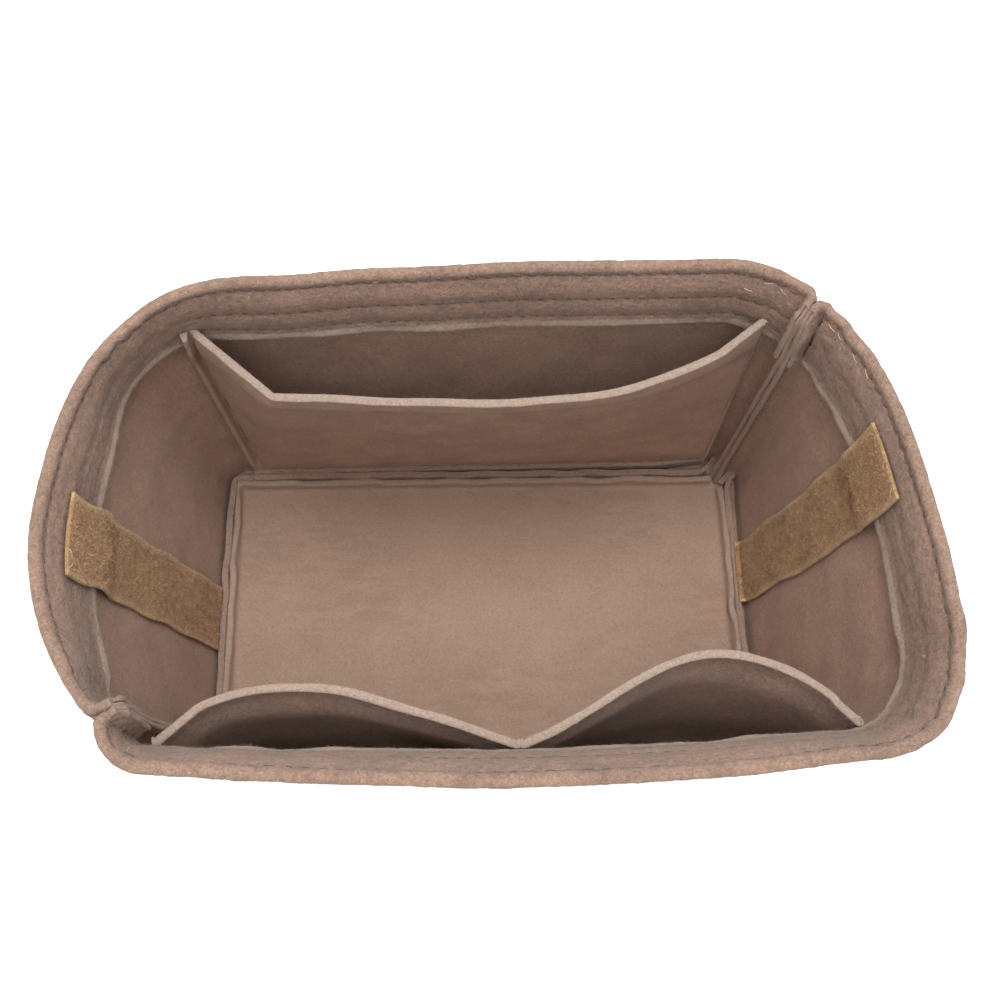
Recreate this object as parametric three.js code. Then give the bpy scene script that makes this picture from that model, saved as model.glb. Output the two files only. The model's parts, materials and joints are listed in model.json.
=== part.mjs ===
// Purse organizer insert: an open tub of thick felt with a turned-in hem, one long pocket
// along the back, two short pockets along the front and a strip of loop tape on each end wall.
// Millimetres. X runs along the length, Y to the back, Z up. The origin is the middle of the base.
//
// Two felt strips make the four walls. Each strip is one section, with the hem folded in at the
// rim and the floor seam's allowance folded in at the base, swept along the strip's plan. The
// strips are sewn together at the back right and front left corners, where both ends turn
// inwards round a tight roll and stand back to back as a ridge.

import * as THREE from 'three';

// Felt, thread and tape
const felt = 2.5;
const sewnGap = 0.4;
const tapeThickness = 1.6;
const tapeWidth = 25;

// Height of the tub and of what is folded in it
const rimHeight = 150;
const hemDepth = 30;
const hemBend = 14;
const hemStepStart = 2.5;
const hemStepEnd = 16;
const weltHeight = 8.5;

// Reach of the walls' outer faces from the middle of the base, at three heights
const floorReach = { length: 105, back: 78, front: 53 };
const hemReach = { length: 127, back: 81, front: 67.5 };
const rimReach = { length: 130, back: 81, front: 80.5 };

// Corner seams: straight allowance, roll round which each strip turns, and squeezed layers
const seamFlat = 5;
const seamRollClearance = 0.3;
const seamSqueezeShare = 0.8;
const seamEase = 6;

// Floor panel
const floorFlangeHeight = 7.5;
const floorCorner = 10.5;
const floorClippedFlange = 1.5;

// Pockets: height over the base, sewn edge, and how far the free top stands off the wall
const pocketLift = 0.6;
const pocketGap = 0.55;
const pocketEdge = 4;
const pocketSlit = 2;
const backPocket = { start: 20, width: 200, top: 127, bulge: 27.5, crease: 28 };
const frontPocket = {
  start: 22, top: 119.2, leftWidth: 105, leftBulge: 16, rightWidth: 101, rightBulge: 24,
};

// Shares that shape the bulges: crest of each pocket across its width, how full the back pocket
// is beside its seam, how much flatter it is at its creased end, and where the crease runs out
const leftCrestShare = 0.38;
const rightCrestShare = 0.57;
const backCrestShare = 0.42;
const backFullnessShare = 0.85;
const backFallShare = 0.2;
const creaseFootShare = 0.12;

// Tapes: top end under the rim, place along the strip, sideways lean and drop off the hem
const tapeBelowRim = 9;
const tapeOverWelt = 0.6;
const tapeGap = 0.6;
const leftTape = { fromSeam: 67, lean: 5 };
const rightTape = { fromSeam: 62, lean: 3 };

// Outline corners of each strip as shares of the reach at that height: x, y and corner radius.
// x and radius are shares of the length, y is a share of the back or, below zero, the front.
const seamShares = {
  backRight: {
    floor: { x: 0.922, y: 0.895, turn: 225 },
    hem: { x: 0.785, y: 0.785, turn: 227 },
    rim: { x: 0.77, y: 0.8, turn: 227 },
  },
  frontLeft: {
    floor: { x: -0.922, y: -0.848, turn: 45 },
    hem: { x: -0.83, y: -0.82, turn: 34 },
    rim: { x: -0.805, y: -0.725, turn: 29 },
  },
};
const backLeftShares = {
  floor: [[0.6, 1, 0], [-0.942, 1, 0.091], [-1, 0.92, 0.091], [-1, -0.12, 0]],
  hem: [[0.68, 1, 0.2], [-0.81, 0.95, 0.28], [-0.955, 0.66, 0.28], [-1, -0.2, 1.2]],
  rim: [[0.655, 1.005, 0.3], [-0.7, 0.955, 0.465], [-0.98, 0.506, 0.465], [-1.003, -0.3, 0.6]],
};
const frontRightShares = {
  floor: [[-0.7, -1, 0], [0, -1, 0], [0.942, -1, 0.091], [1, -0.887, 0.091], [1, 0.31, 0]],
  hem: [[-0.79, -0.98, 0.12], [0, -1, 3], [0.855, -0.985, 0.2], [1, -0.745, 0.2], [0.955, 0.3, 1.1]],
  rim: [[-0.83, -0.935, 0.11], [0, -1.003, 3], [0.853, -0.97, 0.216], [1, -0.735, 0.216],
    [0.94, 0.272, 1.2]],
};

// Colours of the felt's outer face, its smooth inner side and the tape
const colours = { felt: 0xa88e80, floor: 0xa68c7d, pocket: 0xa18678, tape: 0x9b784f };

// Everything below is worked out from the sizes above.
const seamStack = 2 * felt + sewnGap;
const faceStart = sewnGap / 2;
const seamRoll = seamStack * seamSqueezeShare + faceStart + seamRollClearance;
const hemEdge = rimHeight - hemDepth;
const levels = ['floor', 'hem', 'rim'];
const reach = { floor: floorReach, hem: hemReach, rim: rimReach };
const arcStep = 0.08;
const stationStep = 10;
const markClearance = felt / 2;
const foldSteps = 4;

function scaled(level, x, y) {
  const size = reach[level];
  return new THREE.Vector2(x * size.length, y * (y > 0 ? size.back : size.front));
}

function unit(angle) {
  return new THREE.Vector2(Math.cos(angle), Math.sin(angle));
}

// Arc from a start angle through a turn, as points with their travelling direction
function arcPoints(centre, radius, start, turn) {
  const steps = Math.max(2, Math.ceil(Math.abs(turn) / arcStep));
  return Array.from({ length: steps + 1 }, (_, i) => {
    const angle = start + (turn * i) / steps;
    return {
      at: unit(angle).multiplyScalar(radius).add(centre),
      dir: unit(angle + (Math.sign(turn) * Math.PI) / 2),
    };
  });
}

// The strip's end at a seam: tip of the allowance, straight stretch, then the roll that turns
// towards the next outline corner. side is 1 where the strip turns left on its way out.
function seamEnd(level, seam, target, side) {
  const share = seamShares[seam][level];
  const inward = THREE.MathUtils.degToRad(share.turn);
  const foot = scaled(level, share.x, share.y);
  const tip = unit(inward).multiplyScalar(seamFlat).add(foot);
  const out = inward + Math.PI;
  const centre = unit(out + (side * Math.PI) / 2).multiplyScalar(seamRoll).add(foot);
  const toTarget = target.clone().sub(centre);
  const lead = Math.acos(seamRoll / toTarget.length());
  const start = out - (side * Math.PI) / 2;
  const full = 2 * Math.PI;
  const turn = ((side * (toTarget.angle() - start) - lead) % full + full) % full;
  return [{ at: tip, dir: unit(out) }, ...arcPoints(centre, seamRoll, start, side * turn)];
}

// A corner of the outline rounded to its radius
function roundedCorner(before, corner, after, radius) {
  const from = corner.clone().sub(before).normalize();
  const to = after.clone().sub(corner).normalize();
  const turn = Math.atan2(from.cross(to), from.dot(to));
  if (radius === 0 || Math.abs(turn) < arcStep / 4) return [];
  const side = Math.sign(turn);
  const reachBack = radius * Math.tan(Math.abs(turn) / 2);
  const start = corner.clone().addScaledVector(from, -reachBack);
  const normal = new THREE.Vector2(-from.y, from.x).multiplyScalar(side);
  const centre = start.clone().addScaledVector(normal, radius);
  return arcPoints(centre, radius, start.clone().sub(centre).angle(), turn);
}

// Plan of one strip's outer face at one level, with its length so far at each point
function stripPlan(level, seams, shares) {
  const corners = shares[level].map(([x, y]) => scaled(level, x, y));
  const head = seamEnd(level, seams[0], corners[0], 1);
  const tail = seamEnd(level, seams[1], corners[corners.length - 1], -1).reverse()
    .map((point) => ({ at: point.at, dir: point.dir.clone().negate() }));
  const chain = [head[head.length - 1].at, ...corners, tail[0].at];
  const rounds = corners.flatMap((corner, i) => roundedCorner(
    chain[i], corner, chain[i + 2], shares[level][i][2] * reach[level].length));
  const points = [...head, ...rounds, ...tail];
  let total = 0;
  points.forEach((point, i) => {
    if (i > 0) total += point.at.distanceTo(points[i - 1].at);
    point.length = total;
  });
  return { points, total };
}

function planAt(plan, distance) {
  const { points } = plan;
  let low = 0;
  let high = points.length - 1;
  while (high - low > 1) {
    const middle = (low + high) >> 1;
    if (points[middle].length <= distance) low = middle;
    else high = middle;
  }
  const share = (distance - points[low].length) / (points[high].length - points[low].length);
  return {
    at: points[low].at.clone().lerp(points[high].at, share),
    dir: points[low].dir.clone().lerp(points[high].dir, share).normalize(),
  };
}

// A strip carries its three plans and turns a place on the felt into a point in space: distance
// along the strip from its first tip, height, and depth inwards from its outer face.
function makeStrip(seams, shares, pockets) {
  const plans = Object.fromEntries(levels.map((level) => [level, stripPlan(level, seams, shares)]));
  const length = plans.hem.total;
  const end = seamFlat + Math.PI * seamRoll + seamEase;

  function along(level, distance) {
    const total = plans[level].total;
    if (distance <= end) return distance;
    if (distance >= length - end) return total - (length - distance);
    return end + ((distance - end) * (total - 2 * end)) / (length - 2 * end);
  }

  function squeeze(distance) {
    const fromEnd = Math.min(distance, length - distance) - (end - seamEase);
    return THREE.MathUtils.lerp(seamSqueezeShare, 1, THREE.MathUtils.smoothstep(fromEnd, 0, seamEase));
  }

  // layers is the depth through the strip's own felt, which the seams squeeze; beyond is what
  // lies further in than the felt
  function place(distance, height, layers, beyond = 0) {
    const [low, middle, high] = levels.map((level) => planAt(plans[level], along(level, distance)));
    const over = THREE.MathUtils.clamp(height - hemEdge, -hemBend, hemBend);
    const bent = height - hemEdge > hemBend ? height - hemEdge : (over + hemBend) ** 2 / (4 * hemBend);
    const mix = (key) => {
      const lower = middle[key].clone().sub(low[key]).divideScalar(hemEdge);
      const upper = high[key].clone().sub(middle[key]).divideScalar(hemDepth).sub(lower);
      return low[key].clone().addScaledVector(lower, height).addScaledVector(upper, bent);
    };
    const at = mix('at');
    const dir = mix('dir').normalize();
    const inward = faceStart + layers * squeeze(distance) + beyond;
    return new THREE.Vector3(at.x - dir.y * inward, at.y + dir.x * inward, height);
  }

  // Stations where the felt is sampled: close together round the rolls at the strip's ends, wider
  // between them, and at the edges of the pockets sewn to it
  const marks = pockets.flatMap(({ start, width }) => [start, start + pocketEdge,
    start + width - pocketEdge, start + width]);
  const head = [0, ...spread(seamFlat, end, 10)];
  const body = spread(end, length - end, Math.ceil((length - 2 * end) / stationStep)).slice(1, -1);
  const free = [...head, ...body, ...head.map((d) => length - d)]
    .filter((d) => marks.every((mark) => Math.abs(mark - d) > markClearance));
  const stations = [...free, ...marks].sort((a, b) => a - b);

  return { length, stations, place };
}

// Section of a strip as height and depth. The felt runs from the hem's raw edge up and over the
// rim, down the wall and round the base to the end of the floor seam's allowance. Each step gives
// one point on the felt's outer face and one on its inner face.
function stripSection() {
  const middle = seamStack / 2;
  const turn = (height, side) => spread(0, Math.PI, foldSteps).map((angle) => {
    const rise = side * Math.sin(angle);
    const reachIn = side * Math.cos(angle);
    const inner = sewnGap / 2;
    return [[height + middle * rise, middle + middle * reachIn],
      [height + inner * rise, middle + inner * reachIn]];
  });
  const folded = (height) => [[height, seamStack], [height, felt + sewnGap]];
  const wall = (height) => [[height, 0], [height, felt]];
  const pairs = [
    folded(hemEdge), folded(rimHeight - hemDepth / 2),
    ...turn(rimHeight - middle, 1),
    ...[hemEdge + hemBend, hemEdge, hemEdge - hemBend, hemEdge / 2, weltHeight].map(wall),
    ...turn(middle, -1),
    folded(weltHeight),
  ];
  return [...pairs.map((pair) => pair[0]), ...pairs.map((pair) => pair[1]).reverse()];
}

// Closed mesh from rings of equal count. Each end is closed by its cap, a list of triangles
// turned like the ring.
function loft(rings, firstCap, lastCap) {
  const count = rings[0].length;
  const indices = [];
  for (let r = 0; r + 1 < rings.length; r += 1) {
    for (let i = 0; i < count; i += 1) {
      const a = r * count + i;
      const b = r * count + ((i + 1) % count);
      indices.push(a, b, b + count, a, b + count, a + count);
    }
  }
  const last = (rings.length - 1) * count;
  firstCap.forEach(([a, b, c]) => indices.push(a, c, b));
  lastCap.forEach(([a, b, c]) => indices.push(last + a, last + b, last + c));
  return outwards(rings.flat(), indices);
}

// Cap of a ring that runs along one face of the felt and back along the other
function ribbonCap(count) {
  const faces = [];
  for (let i = 0; i + 1 < count / 2; i += 1) {
    const across = count - 1 - i;
    faces.push([i, i + 1, across - 1], [i, across - 1, across]);
  }
  return faces;
}

// Cap of a flat ring given as its outline
function flatCap(outline) {
  const { area, triangulateShape } = THREE.ShapeUtils;
  const turn = Math.sign(area(outline));
  return triangulateShape(outline.slice(), []).map((face) => (
    Math.sign(area(face.map((i) => outline[i]))) === turn ? face : face.slice().reverse()));
}

// Sheet of felt or tape: a grid of middle points given thickness along its own normals
function sheet(columns, rows, thickness, middle) {
  const grid = columns.map((u) => rows.map((v) => middle(u, v)));
  const clampTo = (list, i) => list[THREE.MathUtils.clamp(i, 0, list.length - 1)];
  const normal = (i, j) => {
    const across = clampTo(grid, i + 1)[j].clone().sub(clampTo(grid, i - 1)[j]);
    const up = clampTo(grid[i], j + 1).clone().sub(clampTo(grid[i], j - 1));
    return across.cross(up).normalize();
  };
  const rings = grid.map((line, i) => {
    const front = line.map((point, j) => point.clone().addScaledVector(normal(i, j), thickness / 2));
    const back = line.map((point, j) => point.clone().addScaledVector(normal(i, j), -thickness / 2));
    return [...front, ...back.reverse()];
  });
  const cap = ribbonCap(2 * rows.length);
  return loft(rings, cap, cap);
}

function outwards(points, indices) {
  const volume = indices.reduce((sum, _, i) => (i % 3 ? sum
    : sum + points[indices[i]].dot(points[indices[i + 1]].clone().cross(points[indices[i + 2]]))), 0);
  const ordered = volume > 0 ? indices : indices.slice().reverse();
  const geometry = new THREE.BufferGeometry().setFromPoints(points);
  geometry.setIndex(ordered);
  geometry.computeVertexNormals();
  return geometry;
}

function spread(from, to, steps) {
  return Array.from({ length: steps + 1 }, (_, i) => from + ((to - from) * i) / steps);
}

function wallGeometry(strip) {
  const section = stripSection();
  const rings = strip.stations.map((distance) => section.map(
    ([height, depth]) => strip.place(distance, height, depth)));
  const cap = ribbonCap(section.length);
  return loft(rings, cap, cap);
}

// Felt of the strip that lies behind a sewn-on piece: one layer, with the hem behind a piece that
// reaches over its raw edge and the floor seam's allowance behind a piece that reaches the floor
function layersBehind(height, overHem, overWelt) {
  const { lerp, smoothstep } = THREE.MathUtils;
  const hem = overHem ? smoothstep(hemEdge - height, hemStepStart, hemStepEnd) : 1;
  const welt = overWelt ? smoothstep(height, weltHeight, 3 * weltHeight) : 1;
  return lerp(seamStack, felt, hem * welt);
}

// Pocket: sewn flat to the wall along both side edges, standing off it by a bulge between them
function pocketGeometry(strip, { start, width, top }, bulgeAt) {
  const inside = width - 2 * pocketEdge;
  const within = (distance) => distance > start && distance < start + width;
  const columns = [start, ...strip.stations.filter(within), start + width];
  const panel = top - weltHeight;
  const belowHem = [0.12, 0.3, 0.6].map((share) => weltHeight + (hemEdge - weltHeight) * share);
  const step = [hemEdge - hemStepEnd, hemEdge - hemStepEnd / 2, hemEdge - hemStepStart];
  const rows = [pocketLift, weltHeight, ...belowHem, ...step, top].filter((height) => height <= top);
  return sheet(columns, rows, felt, (distance, height) => {
    const across = THREE.MathUtils.clamp((distance - start - pocketEdge) / inside, 0, 1);
    const rise = Math.max(0, height - weltHeight) / panel;
    const bulge = bulgeAt(across, rise);
    const lean = Math.sqrt(1 - (bulge / panel) ** 2);
    const lifted = height <= weltHeight ? height : weltHeight + (height - weltHeight) * lean;
    const behind = layersBehind(lifted, top > hemEdge, true);
    return strip.place(distance, lifted, behind, pocketGap + felt / 2 + bulge * rise);
  });
}

// Bulge of a front pocket: a smooth hump whose crest lies at a share of the width
function hump(size, crestShare) {
  const power = Math.log(0.5) / Math.log(crestShare);
  return (across) => size * Math.sin(Math.PI * across ** power);
}

// Bulge of the back pocket: long and even, with a crease near its far end that runs out to the
// bottom corner
function creased(size, width, crease) {
  return (across, rise) => {
    const creaseShare = 1 - (crease / width) * Math.max(rise, creaseFootShare);
    const beyond = Math.min(1, (1 - across) / (1 - creaseShare));
    const before = Math.sin((Math.PI / 2) * Math.min(1, across / backCrestShare)) ** backFullnessShare;
    return size * beyond * before * (1 - backFallShare * across ** 2);
  };
}

// Tape: lies on the hem, drops off its raw edge and runs down the wall to the floor seam
function tapeGeometry(strip, centre, lean) {
  const top = rimHeight - tapeBelowRim;
  const bottom = weltHeight + tapeOverWelt;
  const half = tapeWidth / 2;
  const rows = [top, hemEdge + hemDepth / 2, hemEdge + hemDepth / 4, hemEdge, hemEdge - hemStepStart,
    hemEdge - hemStepEnd / 2, hemEdge - hemStepEnd, (hemEdge + bottom) / 2, bottom];
  const inner = tapeGap + tapeThickness / 2;
  return sheet(spread(-half, half, 4), rows, tapeThickness, (across, height) => {
    const behind = layersBehind(height, true, false);
    const width = strip.place(centre - half, height, behind, inner)
      .distanceTo(strip.place(centre + half, height, behind, inner));
    const sideways = (lean * (top - height)) / (top - bottom);
    return strip.place(centre + (across * tapeWidth) / width + sideways, height, behind, inner);
  });
}

// Floor panel outline, taken in by an inset. The two corners at the wall seams are clipped clear
// of the ridges' feet, and the other two are round.
function floorOutline(inset) {
  const right = floorReach.length - faceStart - seamStack - sewnGap - inset;
  const stack = faceStart + seamStack + felt + 2 * pocketGap + inset;
  const back = floorReach.back - stack;
  const front = floorReach.front - stack;
  const radius = floorCorner - seamStack + felt - inset;
  const clip = (seam) => {
    const { x, y, turn } = seamShares[seam].floor;
    const inward = unit(THREE.MathUtils.degToRad(turn));
    const limit = scaled('floor', x, y).addScaledVector(inward, seamFlat + sewnGap + inset);
    return limit.dot(inward) / inward.x;
  };
  const backSum = clip('backRight');
  const frontSum = clip('frontLeft');
  const round = (x, y, start) => arcPoints(new THREE.Vector2(x, y), radius, start, Math.PI / 2)
    .map((point) => ({ at: point.at, clipped: false }));
  const clipped = (x, y) => ({ at: new THREE.Vector2(x, y), clipped: true });
  const beside = (x, y) => ({ at: new THREE.Vector2(x, y), clipped: false });
  return [
    beside(right, backSum - right - felt), clipped(right, backSum - right),
    clipped(backSum - back, back), beside(backSum - back - felt, back),
    ...round(-right + radius, back - radius, Math.PI / 2),
    beside(-right, frontSum + right + felt), clipped(-right, frontSum + right),
    clipped(frontSum + front, -front), beside(frontSum + front + felt, -front),
    ...round(right - radius, -front + radius, -Math.PI / 2),
  ];
}

function floorGeometry() {
  const flange = (point) => (point.clipped ? felt + floorClippedFlange : floorFlangeHeight);
  const levelsOfFloor = [
    [felt / 2, () => 0], [felt / 6, () => felt / 6], [0, () => felt / 2],
    [0, flange], [felt, flange], [felt, () => felt],
  ];
  const rings = levelsOfFloor.map(([inset, height]) => floorOutline(inset)
    .map((point) => new THREE.Vector3(point.at.x, point.at.y, height(point))));
  const [underside, topside] = [felt / 2, felt]
    .map((inset) => flatCap(floorOutline(inset).map((point) => point.at)));
  return loft(rings, underside, topside);
}

function feltPiece(name, geometry, colour, roughness = 0.95) {
  const material = new THREE.MeshStandardMaterial({ color: colour, roughness, metalness: 0 });
  const mesh = new THREE.Mesh(geometry, material);
  mesh.name = name;
  return mesh;
}

const frontLeftPocket = {
  start: frontPocket.start, width: frontPocket.leftWidth, top: frontPocket.top,
};
const frontRightPocket = {
  start: frontPocket.start + frontPocket.leftWidth + pocketSlit,
  width: frontPocket.rightWidth,
  top: frontPocket.top,
};
const backLeft = makeStrip(['backRight', 'frontLeft'], backLeftShares, [backPocket]);
const frontRight = makeStrip(['frontLeft', 'backRight'], frontRightShares,
  [frontLeftPocket, frontRightPocket]);

const pieces = [
  feltPiece('back_left_wall', wallGeometry(backLeft), colours.felt),
  feltPiece('front_right_wall', wallGeometry(frontRight), colours.felt),
  feltPiece('floor_panel', floorGeometry(), colours.floor),
  feltPiece('back_pocket', pocketGeometry(backLeft, backPocket,
    creased(backPocket.bulge, backPocket.width, backPocket.crease)), colours.pocket),
  feltPiece('front_left_pocket', pocketGeometry(frontRight, frontLeftPocket,
    hump(frontPocket.leftBulge, leftCrestShare)), colours.pocket),
  feltPiece('front_right_pocket', pocketGeometry(frontRight, frontRightPocket,
    hump(frontPocket.rightBulge, rightCrestShare)), colours.pocket),
  feltPiece('left_loop_tape', tapeGeometry(backLeft, backLeft.length - leftTape.fromSeam, -leftTape.lean),
    colours.tape),
  feltPiece('right_loop_tape', tapeGeometry(frontRight, frontRight.length - rightTape.fromSeam,
    rightTape.lean), colours.tape),
];

const group = new THREE.Group();
group.add(...pieces);
const middleOfBox = new THREE.Box3().setFromObject(group).getCenter(new THREE.Vector3());
pieces.forEach((piece) => piece.geometry.translate(-middleOfBox.x, -middleOfBox.y, 0));

export default group;
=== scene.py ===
"""Purse organizer insert: an open tub of thick felt, dressed for a studio picture.

Two felt strips make the walls. Each is folded in at the rim as a hem and turned up inside at the
base, and the two are sewn back to back at the back right and front left corners. A felt floor,
three felt pockets and two strips of loop tape are sewn in. Every sheet is meshed here as cut felt
of its real thickness, with the grooves that its seams pull into it. The thread, the pile of the
tapes and the loose fibres are laid over those sheets by Geometry Nodes. Lengths are in metres.
"""

from __future__ import annotations

import json
import logging
import math
from dataclasses import dataclass, field
from enum import Enum
from functools import cached_property

import bpy
import numpy as np
from bpy.types import Material, Mesh, Node, NodeSocket, NodeTree, Object
from mathutils import Matrix, Vector

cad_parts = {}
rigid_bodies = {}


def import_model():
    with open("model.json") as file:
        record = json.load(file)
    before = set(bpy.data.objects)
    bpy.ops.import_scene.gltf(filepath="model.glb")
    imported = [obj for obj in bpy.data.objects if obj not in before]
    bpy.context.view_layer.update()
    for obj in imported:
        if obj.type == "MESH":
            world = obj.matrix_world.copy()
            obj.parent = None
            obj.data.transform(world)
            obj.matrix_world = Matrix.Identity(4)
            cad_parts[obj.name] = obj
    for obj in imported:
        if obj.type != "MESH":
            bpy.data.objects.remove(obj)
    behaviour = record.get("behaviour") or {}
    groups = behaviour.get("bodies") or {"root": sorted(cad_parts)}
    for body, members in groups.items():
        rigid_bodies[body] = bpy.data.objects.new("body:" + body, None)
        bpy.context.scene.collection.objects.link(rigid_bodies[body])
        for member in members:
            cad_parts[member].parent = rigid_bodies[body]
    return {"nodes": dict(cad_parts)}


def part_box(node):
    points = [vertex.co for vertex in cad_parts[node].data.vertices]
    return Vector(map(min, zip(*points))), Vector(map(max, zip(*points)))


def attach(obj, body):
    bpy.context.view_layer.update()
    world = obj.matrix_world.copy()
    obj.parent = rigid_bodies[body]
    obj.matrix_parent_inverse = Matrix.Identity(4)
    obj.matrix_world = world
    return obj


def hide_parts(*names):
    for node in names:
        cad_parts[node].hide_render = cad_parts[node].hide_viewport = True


LOG = logging.getLogger("organizer")
MM = 0.001
BODY = "root"
Array = np.ndarray


class Level(Enum):
    """Height at which a strip's plan is drawn."""

    FLOOR = "floor"
    HEM = "hem"
    RIM = "rim"


class Corner(Enum):
    """Corner where the two strips are sewn together."""

    BACK_RIGHT = "back right"
    FRONT_LEFT = "front left"


class Face(Enum):
    """Face of a felt sheet: over is where its normals point, under the other one."""

    OVER = 1
    UNDER = -1


# Sizes


@dataclass(frozen=True)
class Reach:
    """Reach of the walls' outer faces from the middle of the base at one height."""

    length: float
    back: float
    front: float


@dataclass(frozen=True)
class TubSizes:
    """Sizes of the tub that its pieces share."""

    felt: float = 2.5 * MM
    gap: float = 0.4 * MM
    rim: float = 150 * MM
    hem: float = 30 * MM
    hem_bend: float = 14 * MM
    hem_step_start: float = 2.5 * MM
    hem_step_end: float = 16 * MM
    welt: float = 8.5 * MM
    seam_flat: float = 5 * MM
    seam_roll_clearance: float = 0.3 * MM
    seam_squeeze: float = 0.8
    tip_squeeze: float = 0.6
    seam_ease: float = 6 * MM
    floor_reach: Reach = Reach(105 * MM, 78 * MM, 51.8 * MM)
    hem_reach: Reach = Reach(127 * MM, 81 * MM, 69.3 * MM)
    rim_reach: Reach = Reach(130 * MM, 81 * MM, 80.5 * MM)
    floor_flange: float = 7.5 * MM
    floor_corner: float = 4 * MM
    floor_under_ridge: float = 4.5 * MM
    rim_pinch: float = 0.7
    sewn_felt: float = 1.9 * MM
    floor_clipped_flange: float = 1.5 * MM
    pocket_gap: float = 0.55 * MM
    foot_row_below: float = 2.2 * MM

    @property
    def stack(self) -> float:
        """Two layers of felt and the gap between them."""
        return 2 * self.felt + self.gap

    @property
    def face_start(self) -> float:
        """Distance of each strip's outer face from its outline."""
        return self.gap / 2

    @property
    def seam_roll(self) -> float:
        """Radius of the roll round which a strip turns into a corner seam."""
        return self.stack * self.seam_squeeze + self.face_start + self.seam_roll_clearance

    @property
    def hem_edge(self) -> float:
        """Height of the hem's raw edge."""
        return self.rim - self.hem

    @property
    def foot_row(self) -> float:
        """Height of the stitches that hold the floor seam."""
        return self.welt - self.foot_row_below

    def reach(self, level: Level) -> Reach:
        """Reach at a level."""
        return {Level.FLOOR: self.floor_reach, Level.HEM: self.hem_reach,
                Level.RIM: self.rim_reach}[level]

    def point(self, level: Level, x: float, y: float) -> Array:
        """Point in plan at shares of a level's reach."""
        reach = self.reach(level)
        return np.array([x * reach.length, y * (reach.back if y > 0 else reach.front)])


TUB = TubSizes()

# Corner seams: place as shares of the reach, and the angle at which the ridge points inwards.
SEAMS: dict[Corner, dict[Level, tuple[float, float, float]]] = {
    Corner.BACK_RIGHT: {Level.FLOOR: (0.945, 0.92, 225), Level.HEM: (0.785, 0.785, 227),
                        Level.RIM: (0.77, 0.8, 227)},
    Corner.FRONT_LEFT: {Level.FLOOR: (-0.922, -0.835, 45), Level.HEM: (-0.83, -0.82, 34),
                        Level.RIM: (-0.805, -0.725, 29)},
}
# Outline corners of each strip: x, y and radius, as shares of the reach.
BACK_LEFT_OUTLINE: dict[Level, list[tuple[float, float, float]]] = {
    Level.FLOOR: [(0.6, 1, 0), (-0.942, 1, 0.091), (-1, 0.92, 0.091), (-1, -0.12, 0)],
    Level.HEM: [(0.68, 1, 0.2), (-0.81, 0.95, 0.28), (-0.955, 0.66, 0.28), (-1, -0.2, 1.2)],
    Level.RIM: [(0.655, 1.005, 0.3), (-0.7, 0.955, 0.465), (-0.98, 0.506, 0.465),
                (-1.003, -0.3, 0.6)],
}
FRONT_RIGHT_OUTLINE: dict[Level, list[tuple[float, float, float]]] = {
    Level.FLOOR: [(-0.7, -1, 0), (0, -1, 0), (0.942, -1, 0.091), (1, -0.887, 0.091),
                  (1, 0.31, 0)],
    Level.HEM: [(-0.79, -0.98, 0.12), (0, -1, 3), (0.855, -0.985, 0.2), (1, -0.745, 0.2),
                (0.955, 0.3, 1.1)],
    Level.RIM: [(-0.83, -0.935, 0.11), (0, -1.003, 3), (0.853, -0.97, 0.216),
                (1, -0.735, 0.216), (0.94, 0.272, 1.2)],
}


# Small mathematics


def smooth(value: Array, low: float, high: float) -> Array:
    """Smooth step from 0 at low to 1 at high.

    Args:
        value: Where the step is read.
        low: Value at which it starts.
        high: Value at which it ends.

    Returns:
        The step, of the value's shape.
    """
    share = np.clip((np.asarray(value, float) - low) / (high - low), 0, 1)
    return share * share * (3 - 2 * share)


def bump(value: Array, middle: float, width: float) -> Array:
    """Bell curve of height 1 round a middle value."""
    return np.exp(-(((np.asarray(value, float) - middle) / width) ** 2))


def unit(vectors: Array) -> Array:
    """Vectors brought to length 1 along the last axis."""
    return vectors / np.maximum(np.linalg.norm(vectors, axis=-1, keepdims=True), 1e-12)


def spread(start: float, end: float, step: float) -> Array:
    """Even values from start to end, at most a step apart."""
    return np.linspace(start, end, max(2, math.ceil(abs(end - start) / step) + 1))


def so_far(steps: Array) -> Array:
    """Running total of the steps along a line, from 0."""
    return np.concatenate([[0.0], np.cumsum(steps)])


def line_length(points: Array) -> Array:
    """Length of a line up to each of its points."""
    return so_far(np.linalg.norm(np.diff(points, axis=0), axis=1))


def towards(angle: float) -> Array:
    """Unit vector in plan at an angle."""
    return np.array([math.cos(angle), math.sin(angle)])


@dataclass(frozen=True)
class Ripple:
    """Smooth uneven waves over a surface, the same on every run."""

    wavelength: float
    height: float
    seed: int
    waves: int = 9

    def over(self, x: Array, y: Array | float = 0.0, piece: int = 0) -> Array:
        """Height of the waves.

        Args:
            x: First coordinate on the surface.
            y: Second coordinate on the surface.
            piece: Seed of the piece, which is added to the waves' own.

        Returns:
            The waves' height at each place.
        """
        source = np.random.default_rng(piece + self.seed)
        total = np.zeros(np.broadcast(x, y).shape)
        for _ in range(self.waves):
            angle = source.uniform(0, 2 * math.pi)
            number = 2 * math.pi / (self.wavelength * source.uniform(0.6, 1.7))
            phase = source.uniform(0, 2 * math.pi)
            total = total + np.sin(number * (x * math.cos(angle) + y * math.sin(angle)) + phase)
        return self.height * total / math.sqrt(self.waves)


# Meshes


def ring_quads(rows: int, count: int) -> Array:
    """Quads between closed rings of points.

    Args:
        rows: Number of rings.
        count: Number of points in each.

    Returns:
        The quads' point numbers.
    """
    row, at = np.meshgrid(np.arange(rows - 1), np.arange(count), indexing="ij")
    here, after = row * count + at, row * count + (at + 1) % count
    return np.stack([here, after, after + count, here + count], -1).reshape(-1, 4)


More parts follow.
